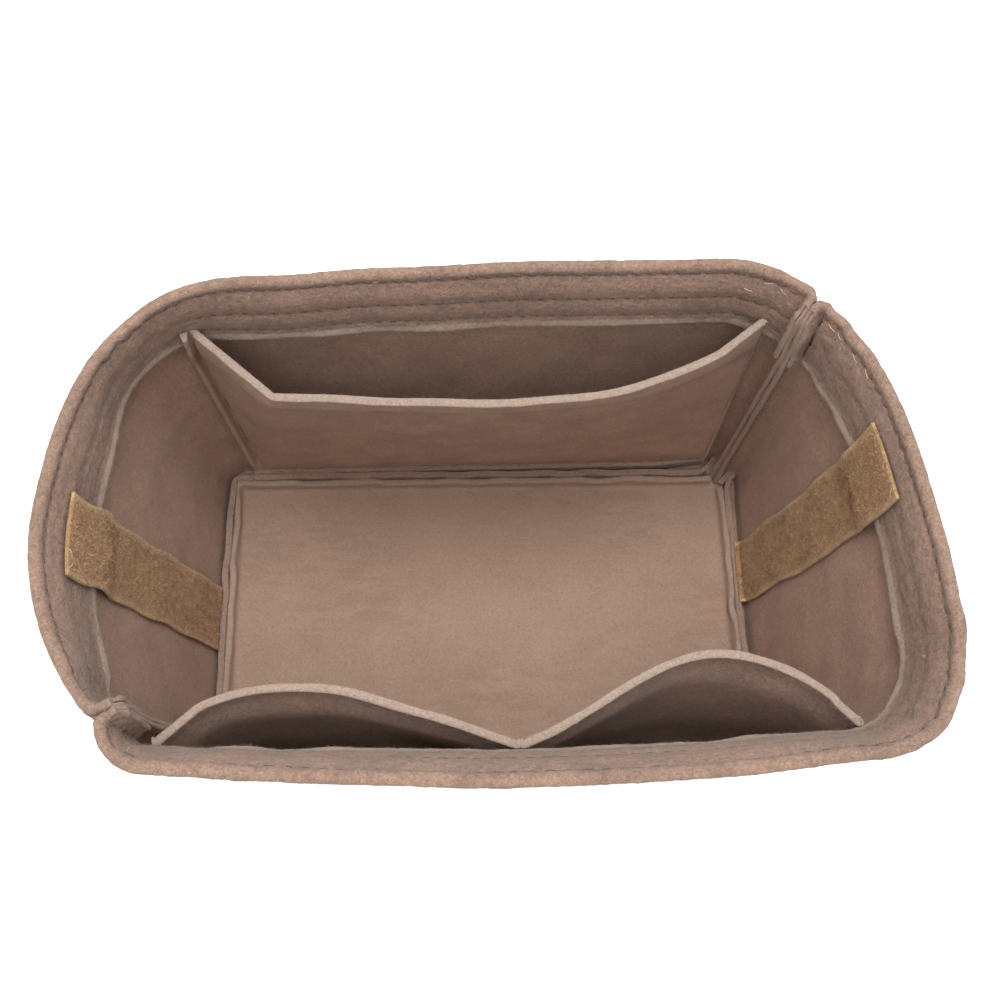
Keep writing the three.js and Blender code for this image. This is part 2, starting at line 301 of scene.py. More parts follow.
def store(mesh: Mesh, key: str, values: Array, kind: str = "FLOAT", part: str = "value") -> None:
    """Store values on a mesh's points.

    Args:
        mesh: The mesh.
        key: Name of the attribute.
        values: Its value at each point.
        kind: Type of the attribute.
        part: What the type calls its value.
    """
    mesh.attributes.new(key, kind, "POINT").data.foreach_set(
        part, values.astype(np.float32).ravel())


def stored(mesh: Mesh, key: str) -> Array:
    """Values stored on a mesh's points."""
    values = np.zeros(len(mesh.vertices), np.float32)
    mesh.attributes[key].data.foreach_get("value", values)
    return values


def linked(name: str, mesh: Mesh) -> Object:
    """Object of a mesh, linked to the scene."""
    obj = bpy.data.objects.new(name, mesh)
    bpy.context.scene.collection.objects.link(obj)
    return obj


def felt_object(name: str, points: Array, faces: list[list[int]], cut: Array,
                nap: Array) -> Object:
    """Smooth object of a closed sheet.

    Args:
        name: Name of the piece.
        points: Its points.
        faces: Its faces.
        cut: How far each point shows the colour of a cut edge.
        nap: How fuzzy the felt is at each point.

    Returns:
        The object.
    """
    mesh = bpy.data.meshes.new(name)
    mesh.from_pydata(points.tolist(), [], faces)
    mesh.polygons.foreach_set("use_smooth", np.ones(len(faces), bool))
    store(mesh, "cut", cut)
    store(mesh, "nap", nap)
    mesh.validate()
    mesh.update()
    return linked(name, mesh)


# Strips


@dataclass
class Plan:
    """Plan of a strip's outer face at one height: points, directions and length so far."""

    points: Array
    directions: Array

    def __post_init__(self) -> None:
        """Measure the plan."""
        self.length = line_length(self.points)

    @property
    def total(self) -> float:
        """Length from tip to tip."""
        return float(self.length[-1])

    def at(self, distance: Array) -> tuple[Array, Array]:
        """Points and unit directions at distances along the plan."""
        points, ahead = (
            np.stack([np.interp(distance, self.length, values[:, k]) for k in (0, 1)], axis=-1)
            for values in (self.points, self.directions))
        return points, unit(ahead)


# Largest angle between the points of an arc.
ARC_STEP = 0.04


def arc(centre: Array, radius: float, start: float, turn: float) -> tuple[list, list]:
    """Points and directions along an arc.

    Args:
        centre: Centre of the arc.
        radius: Its radius.
        start: Angle of its first point.
        turn: Angle through which it runs, positive to the left.

    Returns:
        The points and the travelling directions.
    """
    angles = start + np.linspace(0, turn, max(3, math.ceil(abs(turn) / ARC_STEP) + 1))
    outward = np.stack([np.cos(angles), np.sin(angles)], axis=-1)
    ahead = np.stack([-np.sin(angles), np.cos(angles)], axis=-1) * math.copysign(1, turn)
    return list(centre + radius * outward), list(ahead)


@dataclass
class Strip:
    """One wall strip: turns a place on the felt into a point in space.

    A place is its distance along the strip from the first tip, its height, and how deep it lies
    inwards from the outer face.
    """

    seams: tuple[Corner, Corner]
    outline: dict[Level, list[tuple[float, float, float]]]
    shift: tuple[float, float]
    ease: tuple[tuple[float, float], ...]
    floor: Array
    pressed_tip: tuple[float, float] = (1 * MM, 9 * MM)
    pressed_above: tuple[float, float] = (14 * MM, 26 * MM)
    foot: float = 4 * MM
    foot_clearance: float = 0.1 * MM
    foot_push: float = 6 * MM
    foot_push_from: tuple[float, float] = (13 * MM, 23 * MM)
    foot_window: int = 9
    plans: dict[Level, Plan] = field(init=False)

    def __post_init__(self) -> None:
        """Draw the three plans."""
        self.plans = {level: self._plan(level) for level in Level}

    @property
    def length(self) -> float:
        """Length of the strip at the hem's edge."""
        return self.plans[Level.HEM].total

    @property
    def end(self) -> float:
        """Length that the corner seam takes at each end."""
        return TUB.seam_flat + math.pi * TUB.seam_roll + TUB.seam_ease

    def _seam_end(self, level: Level, seam: Corner, target: Array, side: int) -> tuple[list, list]:
        """Tip, straight allowance and roll of the strip's end at a corner seam.

        Args:
            level: Height of the plan.
            seam: The corner.
            target: Corner of the outline that the roll runs on to.
            side: Side that the allowance rolls to, 1 or -1.

        Returns:
            Points and directions from the tip on.
        """
        x, y, turn = SEAMS[seam][level]
        inward = math.radians(turn)
        heading = towards(inward)
        foot = TUB.point(level, x, y)
        out = inward + math.pi
        centre = foot + TUB.seam_roll * towards(out + side * math.pi / 2)
        away = target - centre
        lead = math.acos(TUB.seam_roll / np.linalg.norm(away))
        start = out - side * math.pi / 2
        angle = (side * (math.atan2(away[1], away[0]) - start) - lead) % (2 * math.pi)
        points, ahead = arc(centre, TUB.seam_roll, start, side * angle)
        return [foot + heading * TUB.seam_flat, *points], [-heading, *ahead]

    def _plan(self, level: Level) -> Plan:
        """Plan of the outer face at one level.

        Args:
            level: The level.

        Returns:
            The plan, from tip to tip.
        """
        corners = [TUB.point(level, x, y) for x, y, _ in self.outline[level]]
        head, head_ahead = self._seam_end(level, self.seams[0], corners[0], 1)
        tail, tail_ahead = self._seam_end(level, self.seams[1], corners[-1], -1)
        tail, tail_ahead = tail[::-1], [-d for d in tail_ahead[::-1]]
        chain = [head[-1], *corners, tail[0]]
        points, ahead = list(head), list(head_ahead)
        for i, (corner, (_, _, share)) in enumerate(zip(corners, self.outline[level])):
            into = unit(corner - chain[i])
            onward = unit(chain[i + 2] - corner)
            turn = math.atan2(into[0] * onward[1] - into[1] * onward[0], float(into @ onward))
            if share == 0 or abs(turn) < 0.02:
                continue
            radius = share * TUB.reach(level).length
            start = corner - into * radius * math.tan(abs(turn) / 2)
            side = math.copysign(1, turn)
            centre = start + side * radius * np.array([-into[1], into[0]])
            first = start - centre
            more, more_ahead = arc(centre, radius, math.atan2(first[1], first[0]), turn)
            points += more
            ahead += more_ahead
        return Plan(np.array(points + tail), np.array(ahead + tail_ahead))

    def _along(self, level: Level, distance: Array) -> Array:
        """Distance at one level: kept near the seams, stretched evenly between them."""
        total, end, length = self.plans[level].total, self.end, self.length
        stretched = end + (distance - end) * (total - 2 * end) / (length - 2 * end)
        return np.where(distance <= end, distance,
                        np.where(distance >= length - end, total - (length - distance), stretched))

    def squeeze(self, distance: Array, height: Array) -> Array:
        """Share to which the layers are squeezed beside a corner seam."""
        from_tip = np.minimum(distance, self.length - distance)
        at_tip = (1 - TUB.tip_squeeze / TUB.seam_squeeze) * smooth(height, *self.pressed_above)
        pressed = 1 - at_tip * (1 - smooth(from_tip, *self.pressed_tip))
        seam = smooth(from_tip - self.end, -TUB.seam_ease, 0)
        return pressed * (TUB.seam_squeeze + (1 - TUB.seam_squeeze) * seam)

    def eased(self, distance: Array) -> Array:
        """How far the rim is eased outwards at distances along the strip."""
        at, out = (np.array(column) * MM for column in zip(*self.ease))
        i = np.clip(np.searchsorted(at, distance) - 1, 0, len(at) - 2)
        share = smooth((distance - at[i]) / (at[i + 1] - at[i]), 0, 1)
        return out[i] + (out[i + 1] - out[i]) * share

    def welt_room(self, distance: Array) -> Array:
        """How far the strip's allowance stands in, so that it meets the floor's flange."""
        foot = self.place(distance.ravel(), np.array(self.foot), TUB.stack)[:, None, :2]
        start, step = self.floor, np.roll(self.floor, -1, 0) - self.floor
        share = ((foot - start) * step).sum(-1) / np.maximum((step ** 2).sum(-1), 1e-12)
        nearest = start + np.clip(share, 0, 1)[..., None] * step
        room = np.linalg.norm(foot - nearest, axis=-1).min(1)
        window = np.full(self.foot_window, 1 / self.foot_window)
        room = np.convolve(np.pad(room, self.foot_window // 2, mode="edge"), window, "valid")
        from_tip = np.minimum(distance, self.length - distance).ravel()
        room = np.clip(room - self.foot_clearance, 0, self.foot_push)
        return (room * smooth(from_tip, *self.foot_push_from)).reshape(distance.shape)

    def place(self, distance: Array, height: Array, layers: Array | float,
              beyond: Array | float = 0.0) -> Array:
        """Points in space.

        Args:
            distance: Distances along the strip.
            height: Heights.
            layers: Depths through the strip's own felt, which the seams squeeze.
            beyond: Depths further in than the felt.

        Returns:
            The points, with the coordinates on a last axis of their own.
        """
        distance, height, layers, beyond = np.broadcast_arrays(distance, height, layers, beyond)
        low, middle, high = (self.plans[level].at(self._along(level, distance))
                             for level in (Level.FLOOR, Level.HEM, Level.RIM))
        over = np.clip(height - TUB.hem_edge, -TUB.hem_bend, TUB.hem_bend)
        bent = np.where(height - TUB.hem_edge > TUB.hem_bend, height - TUB.hem_edge,
                        (over + TUB.hem_bend) ** 2 / (4 * TUB.hem_bend))[..., None]

        def mix(part: int) -> Array:
            """Points, part 0, or directions, part 1, between the three plans."""
            lower = (middle[part] - low[part]) / TUB.hem_edge
            return low[part] + lower * height[..., None] + (
                (high[part] - middle[part]) / TUB.hem - lower) * bent

        at, ahead = mix(0), unit(mix(1))
        out = self.eased(distance) * (height / TUB.rim) ** 2
        inward = TUB.face_start + layers * self.squeeze(distance, height) + beyond - out
        flat = at + inward[..., None] * np.stack([-ahead[..., 1], ahead[..., 0]], axis=-1)
        return np.concatenate([flat + np.array(self.shift), height[..., None]], axis=-1)

    def stations(self, step: float, seam_step: float) -> Array:
        """Distances at which the felt is sampled, closer together in the corner seams."""
        return np.concatenate([
            spread(0, self.end, seam_step)[:-1],
            spread(self.end, self.length - self.end, step),
            spread(self.length - self.end, self.length, seam_step)[1:]])


# Felt sheets

# One half of a cut edge's rounding: each ring's share of the half thickness, and how far it
# stands out as a share of the thickness.
EDGE = ((0.97, 0.02), (0.86, 0.09), (0.5, 0.15))


@dataclass
class FeltSheet:
    """A sheet of felt or tape as a grid of middle points, with relief on both its faces.

    The grid runs along u and v. Relief is height over each face, and the cut shares say how far
    the colour of the cut edge reaches onto each face.
    """

    name: str
    u: Array
    v: Array
    middle: Array
    thickness: Array | float
    over: Array | float = 0.0
    under: Array | float = 0.0
    cut_over: Array | float = 0.0
    cut_under: Array | float = 0.0
    nap_over: float = 0.0
    nap_under: float = 0.0
    edge: float = 1.0
    tip_edge: float = 1.0
    tip_cut: float = 1.0
    edge_cuts: tuple[float, float] = (1.0, 1.0)

    def __post_init__(self) -> None:
        """Work out the normals and both faces."""
        size = self.middle.shape[:2]
        along = np.gradient(self.middle, axis=0)
        across = np.gradient(self.middle, axis=1)
        self.normal = unit(np.cross(along, across))
        thickness, over, under, cut_over, cut_under = (
            np.broadcast_to(np.asarray(value, float), size) for value in (
                self.thickness, self.over, self.under, self.cut_over, self.cut_under))
        self.half = thickness / 2
        self.faces = {
            Face.OVER: self.middle + self.normal * (self.half + over)[..., None],
            Face.UNDER: self.middle - self.normal * (self.half + under)[..., None]}
        self.cut = {Face.OVER: cut_over, Face.UNDER: cut_under}

    @property
    def flat_area(self) -> float:
        """Area of the middle of the sheet."""
        grid = self.middle
        one, two = grid[1:, 1:] - grid[:-1, :-1], grid[1:, :-1] - grid[:-1, 1:]
        return float(np.linalg.norm(np.cross(one, two), axis=-1).sum() / 2)

    def read(self, values: Array, u: Array, v: Array) -> Array:
        """Values of a grid read between its points.

        Args:
            values: A value for each point.
            u: Places along the sheet.
            v: Places across it.

        Returns:
            The values there.
        """
        i = np.clip(np.searchsorted(self.u, u) - 1, 0, len(self.u) - 2)
        j = np.clip(np.searchsorted(self.v, v) - 1, 0, len(self.v) - 2)
        a = ((u - self.u[i]) / (self.u[i + 1] - self.u[i]))[..., None]
        b = ((v - self.v[j]) / (self.v[j + 1] - self.v[j]))[..., None]
        return ((values[i, j] * (1 - a) + values[i + 1, j] * a) * (1 - b)
                + (values[i, j + 1] * (1 - a) + values[i + 1, j + 1] * a) * b)

    def on(self, face: Face, u: Array, v: Array) -> tuple[Array, Array]:
        """Points on a face and the directions out of it.

        Args:
            face: The face.
            u: Places along the grid's first direction.
            v: Places along its second direction.

        Returns:
            The points and the unit directions out of the felt.
        """
        points = self.read(self.faces[face], u, v)
        return points, unit(self.read(self.normal, u, v)) * face.value

    def _rings(self) -> tuple[Array, Array, Array]:
        """Closed rings of points across the sheet, with their cut and nap shares."""
        over, under, half = self.faces[Face.OVER], self.faces[Face.UNDER], self.half
        thick = 2 * half.mean()

        def side(at: int, inner: int, shares: tuple) -> list[Array]:
            """Rings that round half of one edge."""
            out = unit(self.middle[:, at] - self.middle[:, inner])
            mid = (over[:, at] + under[:, at]) / 2
            reach = (over[:, at] - under[:, at]) / 2
            return [mid + reach * a + out * (s * thick * self.edge) for a, s in shares]

        down = tuple((-a, s) for a, s in EDGE)
        start = side(0, 1, EDGE[::-1])
        finish = side(0, 1, down)
        far = side(-1, -2, EDGE) + side(-1, -2, down[::-1])
        points = np.concatenate([
            np.stack(start, 1), over, np.stack(far, 1), under[:, ::-1], np.stack(finish, 1)], 1)
        near_cut, far_cut = (np.full((len(over), len(EDGE)), cut) for cut in self.edge_cuts)
        cut = np.concatenate([near_cut, self.cut[Face.OVER], far_cut, far_cut,
                              self.cut[Face.UNDER][:, ::-1], near_cut], 1)
        nap = np.concatenate([np.full((len(over), over.shape[1] + 2 * len(EDGE)), value)
                              for value in (self.nap_over, self.nap_under)], 1)
        return points, cut, nap

    def mesh(self) -> Object:
        """Closed mesh object of the sheet, with its cut and nap shares."""
        points, cut, nap = self._rings()
        thick = 2 * self.half.mean()

        def tips(at: int, inner: int) -> list[Array]:
            """Rings that round the sheet off at one end."""
            ring = points[at]
            mid = (ring + ring[::-1]) / 2
            out = unit(self.middle[at].mean(0) - self.middle[inner].mean(0))
            return [mid + (ring - mid) * a + out * (s * thick * self.tip_edge) for a, s in EDGE]

        head, tail = tips(0, 1)[::-1], tips(-1, -2)
        points = np.concatenate([np.stack(head), points, np.stack(tail)], 0)
        tip = np.full((len(EDGE), cut.shape[1]), self.tip_cut)
        cut = np.concatenate([tip, cut, tip], 0)
        nap = np.pad(nap, ((len(EDGE), len(EDGE)), (0, 0)), mode="edge")
        rows, count = points.shape[:2]
        at = np.arange(count // 2 - 1)
        cap = np.stack([at, at + 1, count - 2 - at, count - 1 - at], -1)
        quads = np.concatenate([ring_quads(rows, count), cap[:, ::-1],
                                cap + (rows - 1) * count], 0)
        flat = points.reshape(-1, 3)
        corners = flat[quads]
        swept = np.cross(corners[:, 2] - corners[:, 0], corners[:, 3] - corners[:, 1])
        if (swept * corners.mean(1)).sum() < 0:
            quads = quads[:, ::-1]
        return felt_object(self.name, flat, quads.tolist(), cut, nap)


def layers_behind(height: Array, over_hem: bool, over_welt: bool) -> Array:
    """Depth of the strip's felt behind a sewn-on piece.

    Args:
        height: Heights of the piece.
        over_hem: Whether the piece reaches over the hem's raw edge.
        over_welt: Whether it reaches over the floor seam's allowance.

    Returns:
        One layer, or the stack of two where the piece passes over one.
    """
    hem = smooth(TUB.hem_edge - height, TUB.hem_step_start, TUB.hem_step_end) if over_hem else 1
    welt = smooth(height, TUB.welt, 3 * TUB.welt) if over_welt else 1
    return TUB.stack + (TUB.felt - TUB.stack) * np.asarray(hem * welt)


@dataclass(frozen=True)
class HemRow:
    """A row of machine stitches along the hem: distance under the rim, and its groove's size."""

    below_rim: float
    groove: float
    width: float = 0.9 * MM


HEM_ROWS = (HemRow(4.0 * MM, 0.75 * MM), HemRow(15.5 * MM, 0.6 * MM), HemRow(25 * MM, 0.4 * MM))
STITCH_PITCH = 4.7 * MM


@dataclass
class WallStrip:
    """One strip of wall felt with its turned-in hem and its floor seam allowance.

    The seed is the piece's own, and each Ripple adds its number to it.
    """

    name: str
    strip: Strip
    seed: int
    plain_from: tuple[float, float] = (195 * MM, 225 * MM)
    pinched: float = 236 * MM
    pinch_width: float = 20 * MM
    edge_curl: float = 1.1 * MM
    worn_corner: float = 2.6 * MM
    worn_below: float = 7 * MM
    worn_to: float = 10 * MM
    frayed_to: float = 9 * MM
    rim_press: float = 13 * MM
    puff: float = 0.45 * MM
    full_puff: float = 8 * MM
    tip_swell: float = 0.27
    station_step: float = 1.35 * MM
    seam_step: float = 0.8 * MM
    hem_step: float = 0.75 * MM
    wall_step: float = 1.3 * MM
    plain_step: float = 3.6 * MM
    foot_step: float = 1.8 * MM
    welt_step: float = 1.2 * MM
    plain_below_hem: float = 4 * MM
    plain_to: float = 16 * MM
    sway: Ripple = Ripple(0.06, 0.3 * MM, 0)
    curling: Ripple = Ripple(0.03, 0.8, 1)
    rise: Ripple = Ripple(0.07, 0.22 * MM, 2)
    fuzz: Ripple = Ripple(3.4 * MM, 0.08 * MM, 3, 14)
    ragged: Ripple = Ripple(6 * MM, 1.0, 4)
    lumps: Ripple = Ripple(7 * MM, 0.05 * MM, 5, 12)
    fray: tuple[Ripple, ...] = tuple(Ripple(14 * MM, 0.22 * MM, k) for k in (6, 7, 8))
    pinches: Ripple = Ripple(6 * MM, 0.42 * MM, 12, 12)
    tip_lumps: Ripple = Ripple(4 * MM, 0.16 * MM, 13, 14)
    welt_waves: Ripple = Ripple(0.018, 0.32 * MM, 14)
    felt: FeltSheet = field(init=False)

    def section(self) -> None:
        """Lay out the middle of the felt through the strip, from the hem's raw edge down."""
        middle, bend = TUB.stack / 2, (TUB.felt + TUB.gap) / 2
        inner, pinch = TUB.stack - TUB.felt / 2, TUB.rim_pinch
        top, plain = TUB.rim - middle * pinch, TUB.hem_edge - self.plain_below_hem
        turn = np.linspace(0, math.pi, 13)[1:-1]
        quarter = np.linspace(0, math.pi / 2, 6)[1:]
        run = np.linspace(0, 1, 5)[1:-1]
        hem = spread(TUB.hem_edge, top, self.hem_step)
        wall = np.concatenate([spread(top, plain, self.wall_step)[:-1],
                               spread(plain, self.plain_to, self.plain_step)[:-1],
                               spread(self.plain_to, middle, self.foot_step)])
        welt = spread(middle, TUB.welt, self.welt_step)

        def tight(height: Array) -> Array:
            """Share to which the layers are pinched together under the rim."""
            return 1 - (1 - pinch) * smooth(height, TUB.rim - self.rim_press, top)

        under = np.full(len(run), middle)
        self.height = np.concatenate([
            hem, top + bend * pinch * np.sin(turn), wall, middle - bend * np.sin(quarter),
            under - bend, middle - bend * np.sin(quarter[::-1]), welt[1:]])
        self.depth = np.concatenate([
            inner * tight(hem), pinch * (middle + bend * np.cos(turn)), TUB.felt / 2 * tight(wall),
            middle - bend * np.cos(quarter), under,
            middle + bend * np.cos(quarter[::-1]), np.full(len(welt) - 1, inner)])
        self.pushed = np.concatenate([
            np.zeros(len(hem) + len(turn) + len(wall) + len(quarter)), run,
            np.ones(len(quarter) + len(welt) - 1)])
        self.thin = tight(self.height)
        self.hem_rows = len(hem) + len(turn) // 2
        self.on_hem = np.arange(len(self.height)) < self.hem_rows
        self.path = so_far(np.hypot(np.diff(self.height), np.diff(self.depth)))

    def build(self) -> Object:
        """Mesh of the strip."""
        self.section()
        u = self.strip.stations(self.station_step, self.seam_step)
        self.distance = u[:, None]
        self.from_tip = np.minimum(self.distance, self.strip.length - self.distance)
        self.free = smooth(self.from_tip, 4 * MM, 30 * MM)
        plain = smooth(self.distance, *self.plain_from)
        puff = self.on_hem * self._puff() * self.free * (1 - 0.6 * plain)
        grooves = self._grooves(1 - 0.75 * plain * self.on_hem)
        fuzz = self._waves(self.fuzz, self.path)
        raw = self.on_hem * (1 - smooth(self.height - TUB.hem_edge, 1.7 * MM,
                                        3.3 * MM + 0.5 * MM * self._waves(self.ragged)))
        tip = 1 - smooth(self.from_tip, 0, 1.2 * MM)
        swell = 1 + self.tip_swell * (1 - smooth(self.from_tip, 10 * MM, 18 * MM))
        squeeze = self.strip.squeeze(self.distance, self.height)
        self.felt = FeltSheet(
            self.name, u, self.path, self._middle(puff), TUB.felt * squeeze * self.thin * swell,
            over=fuzz * 0.5 - np.where(self.on_hem, 0, 0.4 * grooves),
            under=fuzz + self._lumps() + 0.4 * puff
            - np.where(self.on_hem, grooves, 0.6 * grooves),
            cut_under=np.maximum(raw, 0.4 * tip), cut_over=0.4 * tip, nap_under=1.0,
            nap_over=0.35, tip_edge=1.3, tip_cut=0.42, edge_cuts=(1.0, 0.45))
        return self.felt.mesh()

    def _waves(self, ripple: Ripple, y: Array | float = 0.0, drawn: float = 1.0) -> Array:
        """The piece's own waves along the strip, drawn out and over a second direction."""
        return ripple.over(self.distance * drawn, y, self.seed)

    def _middle(self, puff: Array) -> Array:
        """Middle of the felt, swayed, curled, puffed and frayed."""
        height, free = self.height, self.free
        sway = free * smooth(height, 0.06, 0.145) * self._waves(self.sway, height * 0.6)
        curl = self.on_hem * bump(height, TUB.hem_edge, 2.4 * MM) * self.edge_curl
        curl = curl * (0.6 + 0.4 * self._waves(self.curling))
        push = self.strip.welt_room(self.distance) * self.pushed
        push = push + self.pushed * free * smooth(height, 3 * MM, TUB.welt) * self._waves(
            self.welt_waves)
        side = np.where(self.distance < self.strip.length / 2, 1, -1)
        worn = self.worn_corner * smooth(height, TUB.rim - self.worn_below, TUB.rim) * (
            1 - smooth(self.from_tip, 0, self.worn_to))
        middle = self.strip.place(self.distance + side * worn, height, self.depth,
                                  sway + free * np.maximum(curl, 0) + push + 0.6 * puff)
        middle[..., 2] += self._waves(self.rise) * free * smooth(height, 0.1, 0.14)
        near = (1 - smooth(self.from_tip, 0, self.frayed_to)) * (0.35 + 0.65 * smooth(
            height, TUB.hem_edge - 6 * MM, TUB.hem_edge + 4 * MM))
        fray = np.stack([self._waves(ripple, self.path, 0.7) for ripple in self.fray], -1)
        return middle + near[..., None] * fray * np.array([1, 1, 0.5])

    def _lumps(self) -> Array:
        """Lumps of the felt inside the tub, and pinches of the hem round a bend."""
        lumps = self._waves(self.lumps, self.path) * smooth(
            self.height, TUB.hem_edge - 10 * MM, TUB.hem_edge)
        lumps = lumps + self._waves(self.tip_lumps, self.path) * (
            1 - smooth(self.from_tip, 5 * MM, 12 * MM)) * smooth(self.height, 8 * MM, 14 * MM)
        pinches = self.on_hem * self._waves(self.pinches, 0.2 * self.path) * bump(
            self.distance, self.pinched, self.pinch_width)
        return lumps + pinches * smooth(self.height - TUB.hem_edge, 1 * MM, 9 * MM)

    def _puff(self) -> Array:
        """Rise of the hem's felt between its stitch rows."""
        lines = sorted([TUB.rim, *(TUB.rim - row.below_rim for row in HEM_ROWS)])
        total = np.zeros(self.height.shape)
        for low, high in zip(lines, lines[1:]):
            share = np.clip((self.height - low) / (high - low), 0, 1)
            full = min(1, (high - low) / self.full_puff)
            total = total + self.puff * np.sin(math.pi * share) ** 2 * full
        return total

    def _grooves(self, lower_rows: Array) -> Array:
        """Depth of the grooves that the seams pull into the felt."""
        total = np.zeros(np.broadcast(self.distance, self.height).shape)
        holes = 0.6 + 0.4 * np.cos(2 * math.pi * self.distance / STITCH_PITCH)
        for index, row in enumerate(HEM_ROWS):
            pull = bump(self.height, TUB.rim - row.below_rim, row.width) * row.groove
            total = total + pull * (lower_rows if index else 1)
        foot = bump(self.height, TUB.foot_row, 1.3 * MM) * 0.4 * MM
        return total * holes * (0.45 + 0.55 * self.free) + foot

    def hem_path(self, below_rim: float) -> float:
        """Length along the felt from the raw edge to a height on the hem."""
        rows = slice(0, self.hem_rows)
        return float(np.interp(TUB.rim - below_rim, self.height[rows], self.path[rows]))

    def wall_path(self, height: float) -> float:
        """Length along the felt from the raw edge to a height on the wall."""
        rows = slice(self.hem_rows, int(np.argmin(self.height)))
        return float(np.interp(-height, -self.height[rows], self.path[rows]))


# Pockets


@dataclass(frozen=True)
class PocketCut:
    """Where a pocket is sewn along its strip, how high it is, and how far it bulges."""

    start: float
    width: float
    top: float
    bulge: float
    crest: float
    seam: float
    near_share: float = 0.07
    near_seam: float = 1.0 * MM

    @property
    def panel(self) -> tuple[float, float]:
        """Where the free panel starts between the side seams' margins, and its width."""
        return self.start + self.near_seam, self.width - self.near_seam - self.seam

    def bulge_at(self, across: Array, rise: Array) -> Array:
        """Bulge of a smooth hump whose crest lies at a share of the width."""
        power = math.log(0.5) / math.log(self.crest)
        return self.bulge * np.sin(math.pi * across ** power) * np.ones_like(rise)

    def far_fold(self, rise: Array) -> Array:
        """Share of the width past which the panel is pulled straight to its far seam."""
        return np.full(rise.shape, 0.93)

    def near_fold(self, rise: Array) -> Array:
        """Share of the width up to which the panel is pulled straight from its near seam."""
        return np.full(rise.shape, self.near_share)


@dataclass(frozen=True)
class CreasedCut(PocketCut):
    """The long back pocket, with a crease near its far end that runs out to the corner."""

    crease: float = 28 * MM
    fullness: float = 0.72
    fall: float = 0.33
    crease_foot: float = 0.12

    def bulge_at(self, across: Array, rise: Array) -> Array:
        """Bulge that is long and even up to the crease."""
        before = np.sin(math.pi / 2 * np.minimum(1, across / self.crest)) ** self.fullness
        beyond = np.minimum(1, (1 - across) / (1 - self.far_fold(rise)))
        return self.bulge * beyond * before * (1 - self.fall * across ** 2)

    def far_fold(self, rise: Array) -> Array:
        """Share of the width at which the panel is creased."""
        return 1 - (self.crease / self.width) * np.maximum(rise, self.crease_foot)


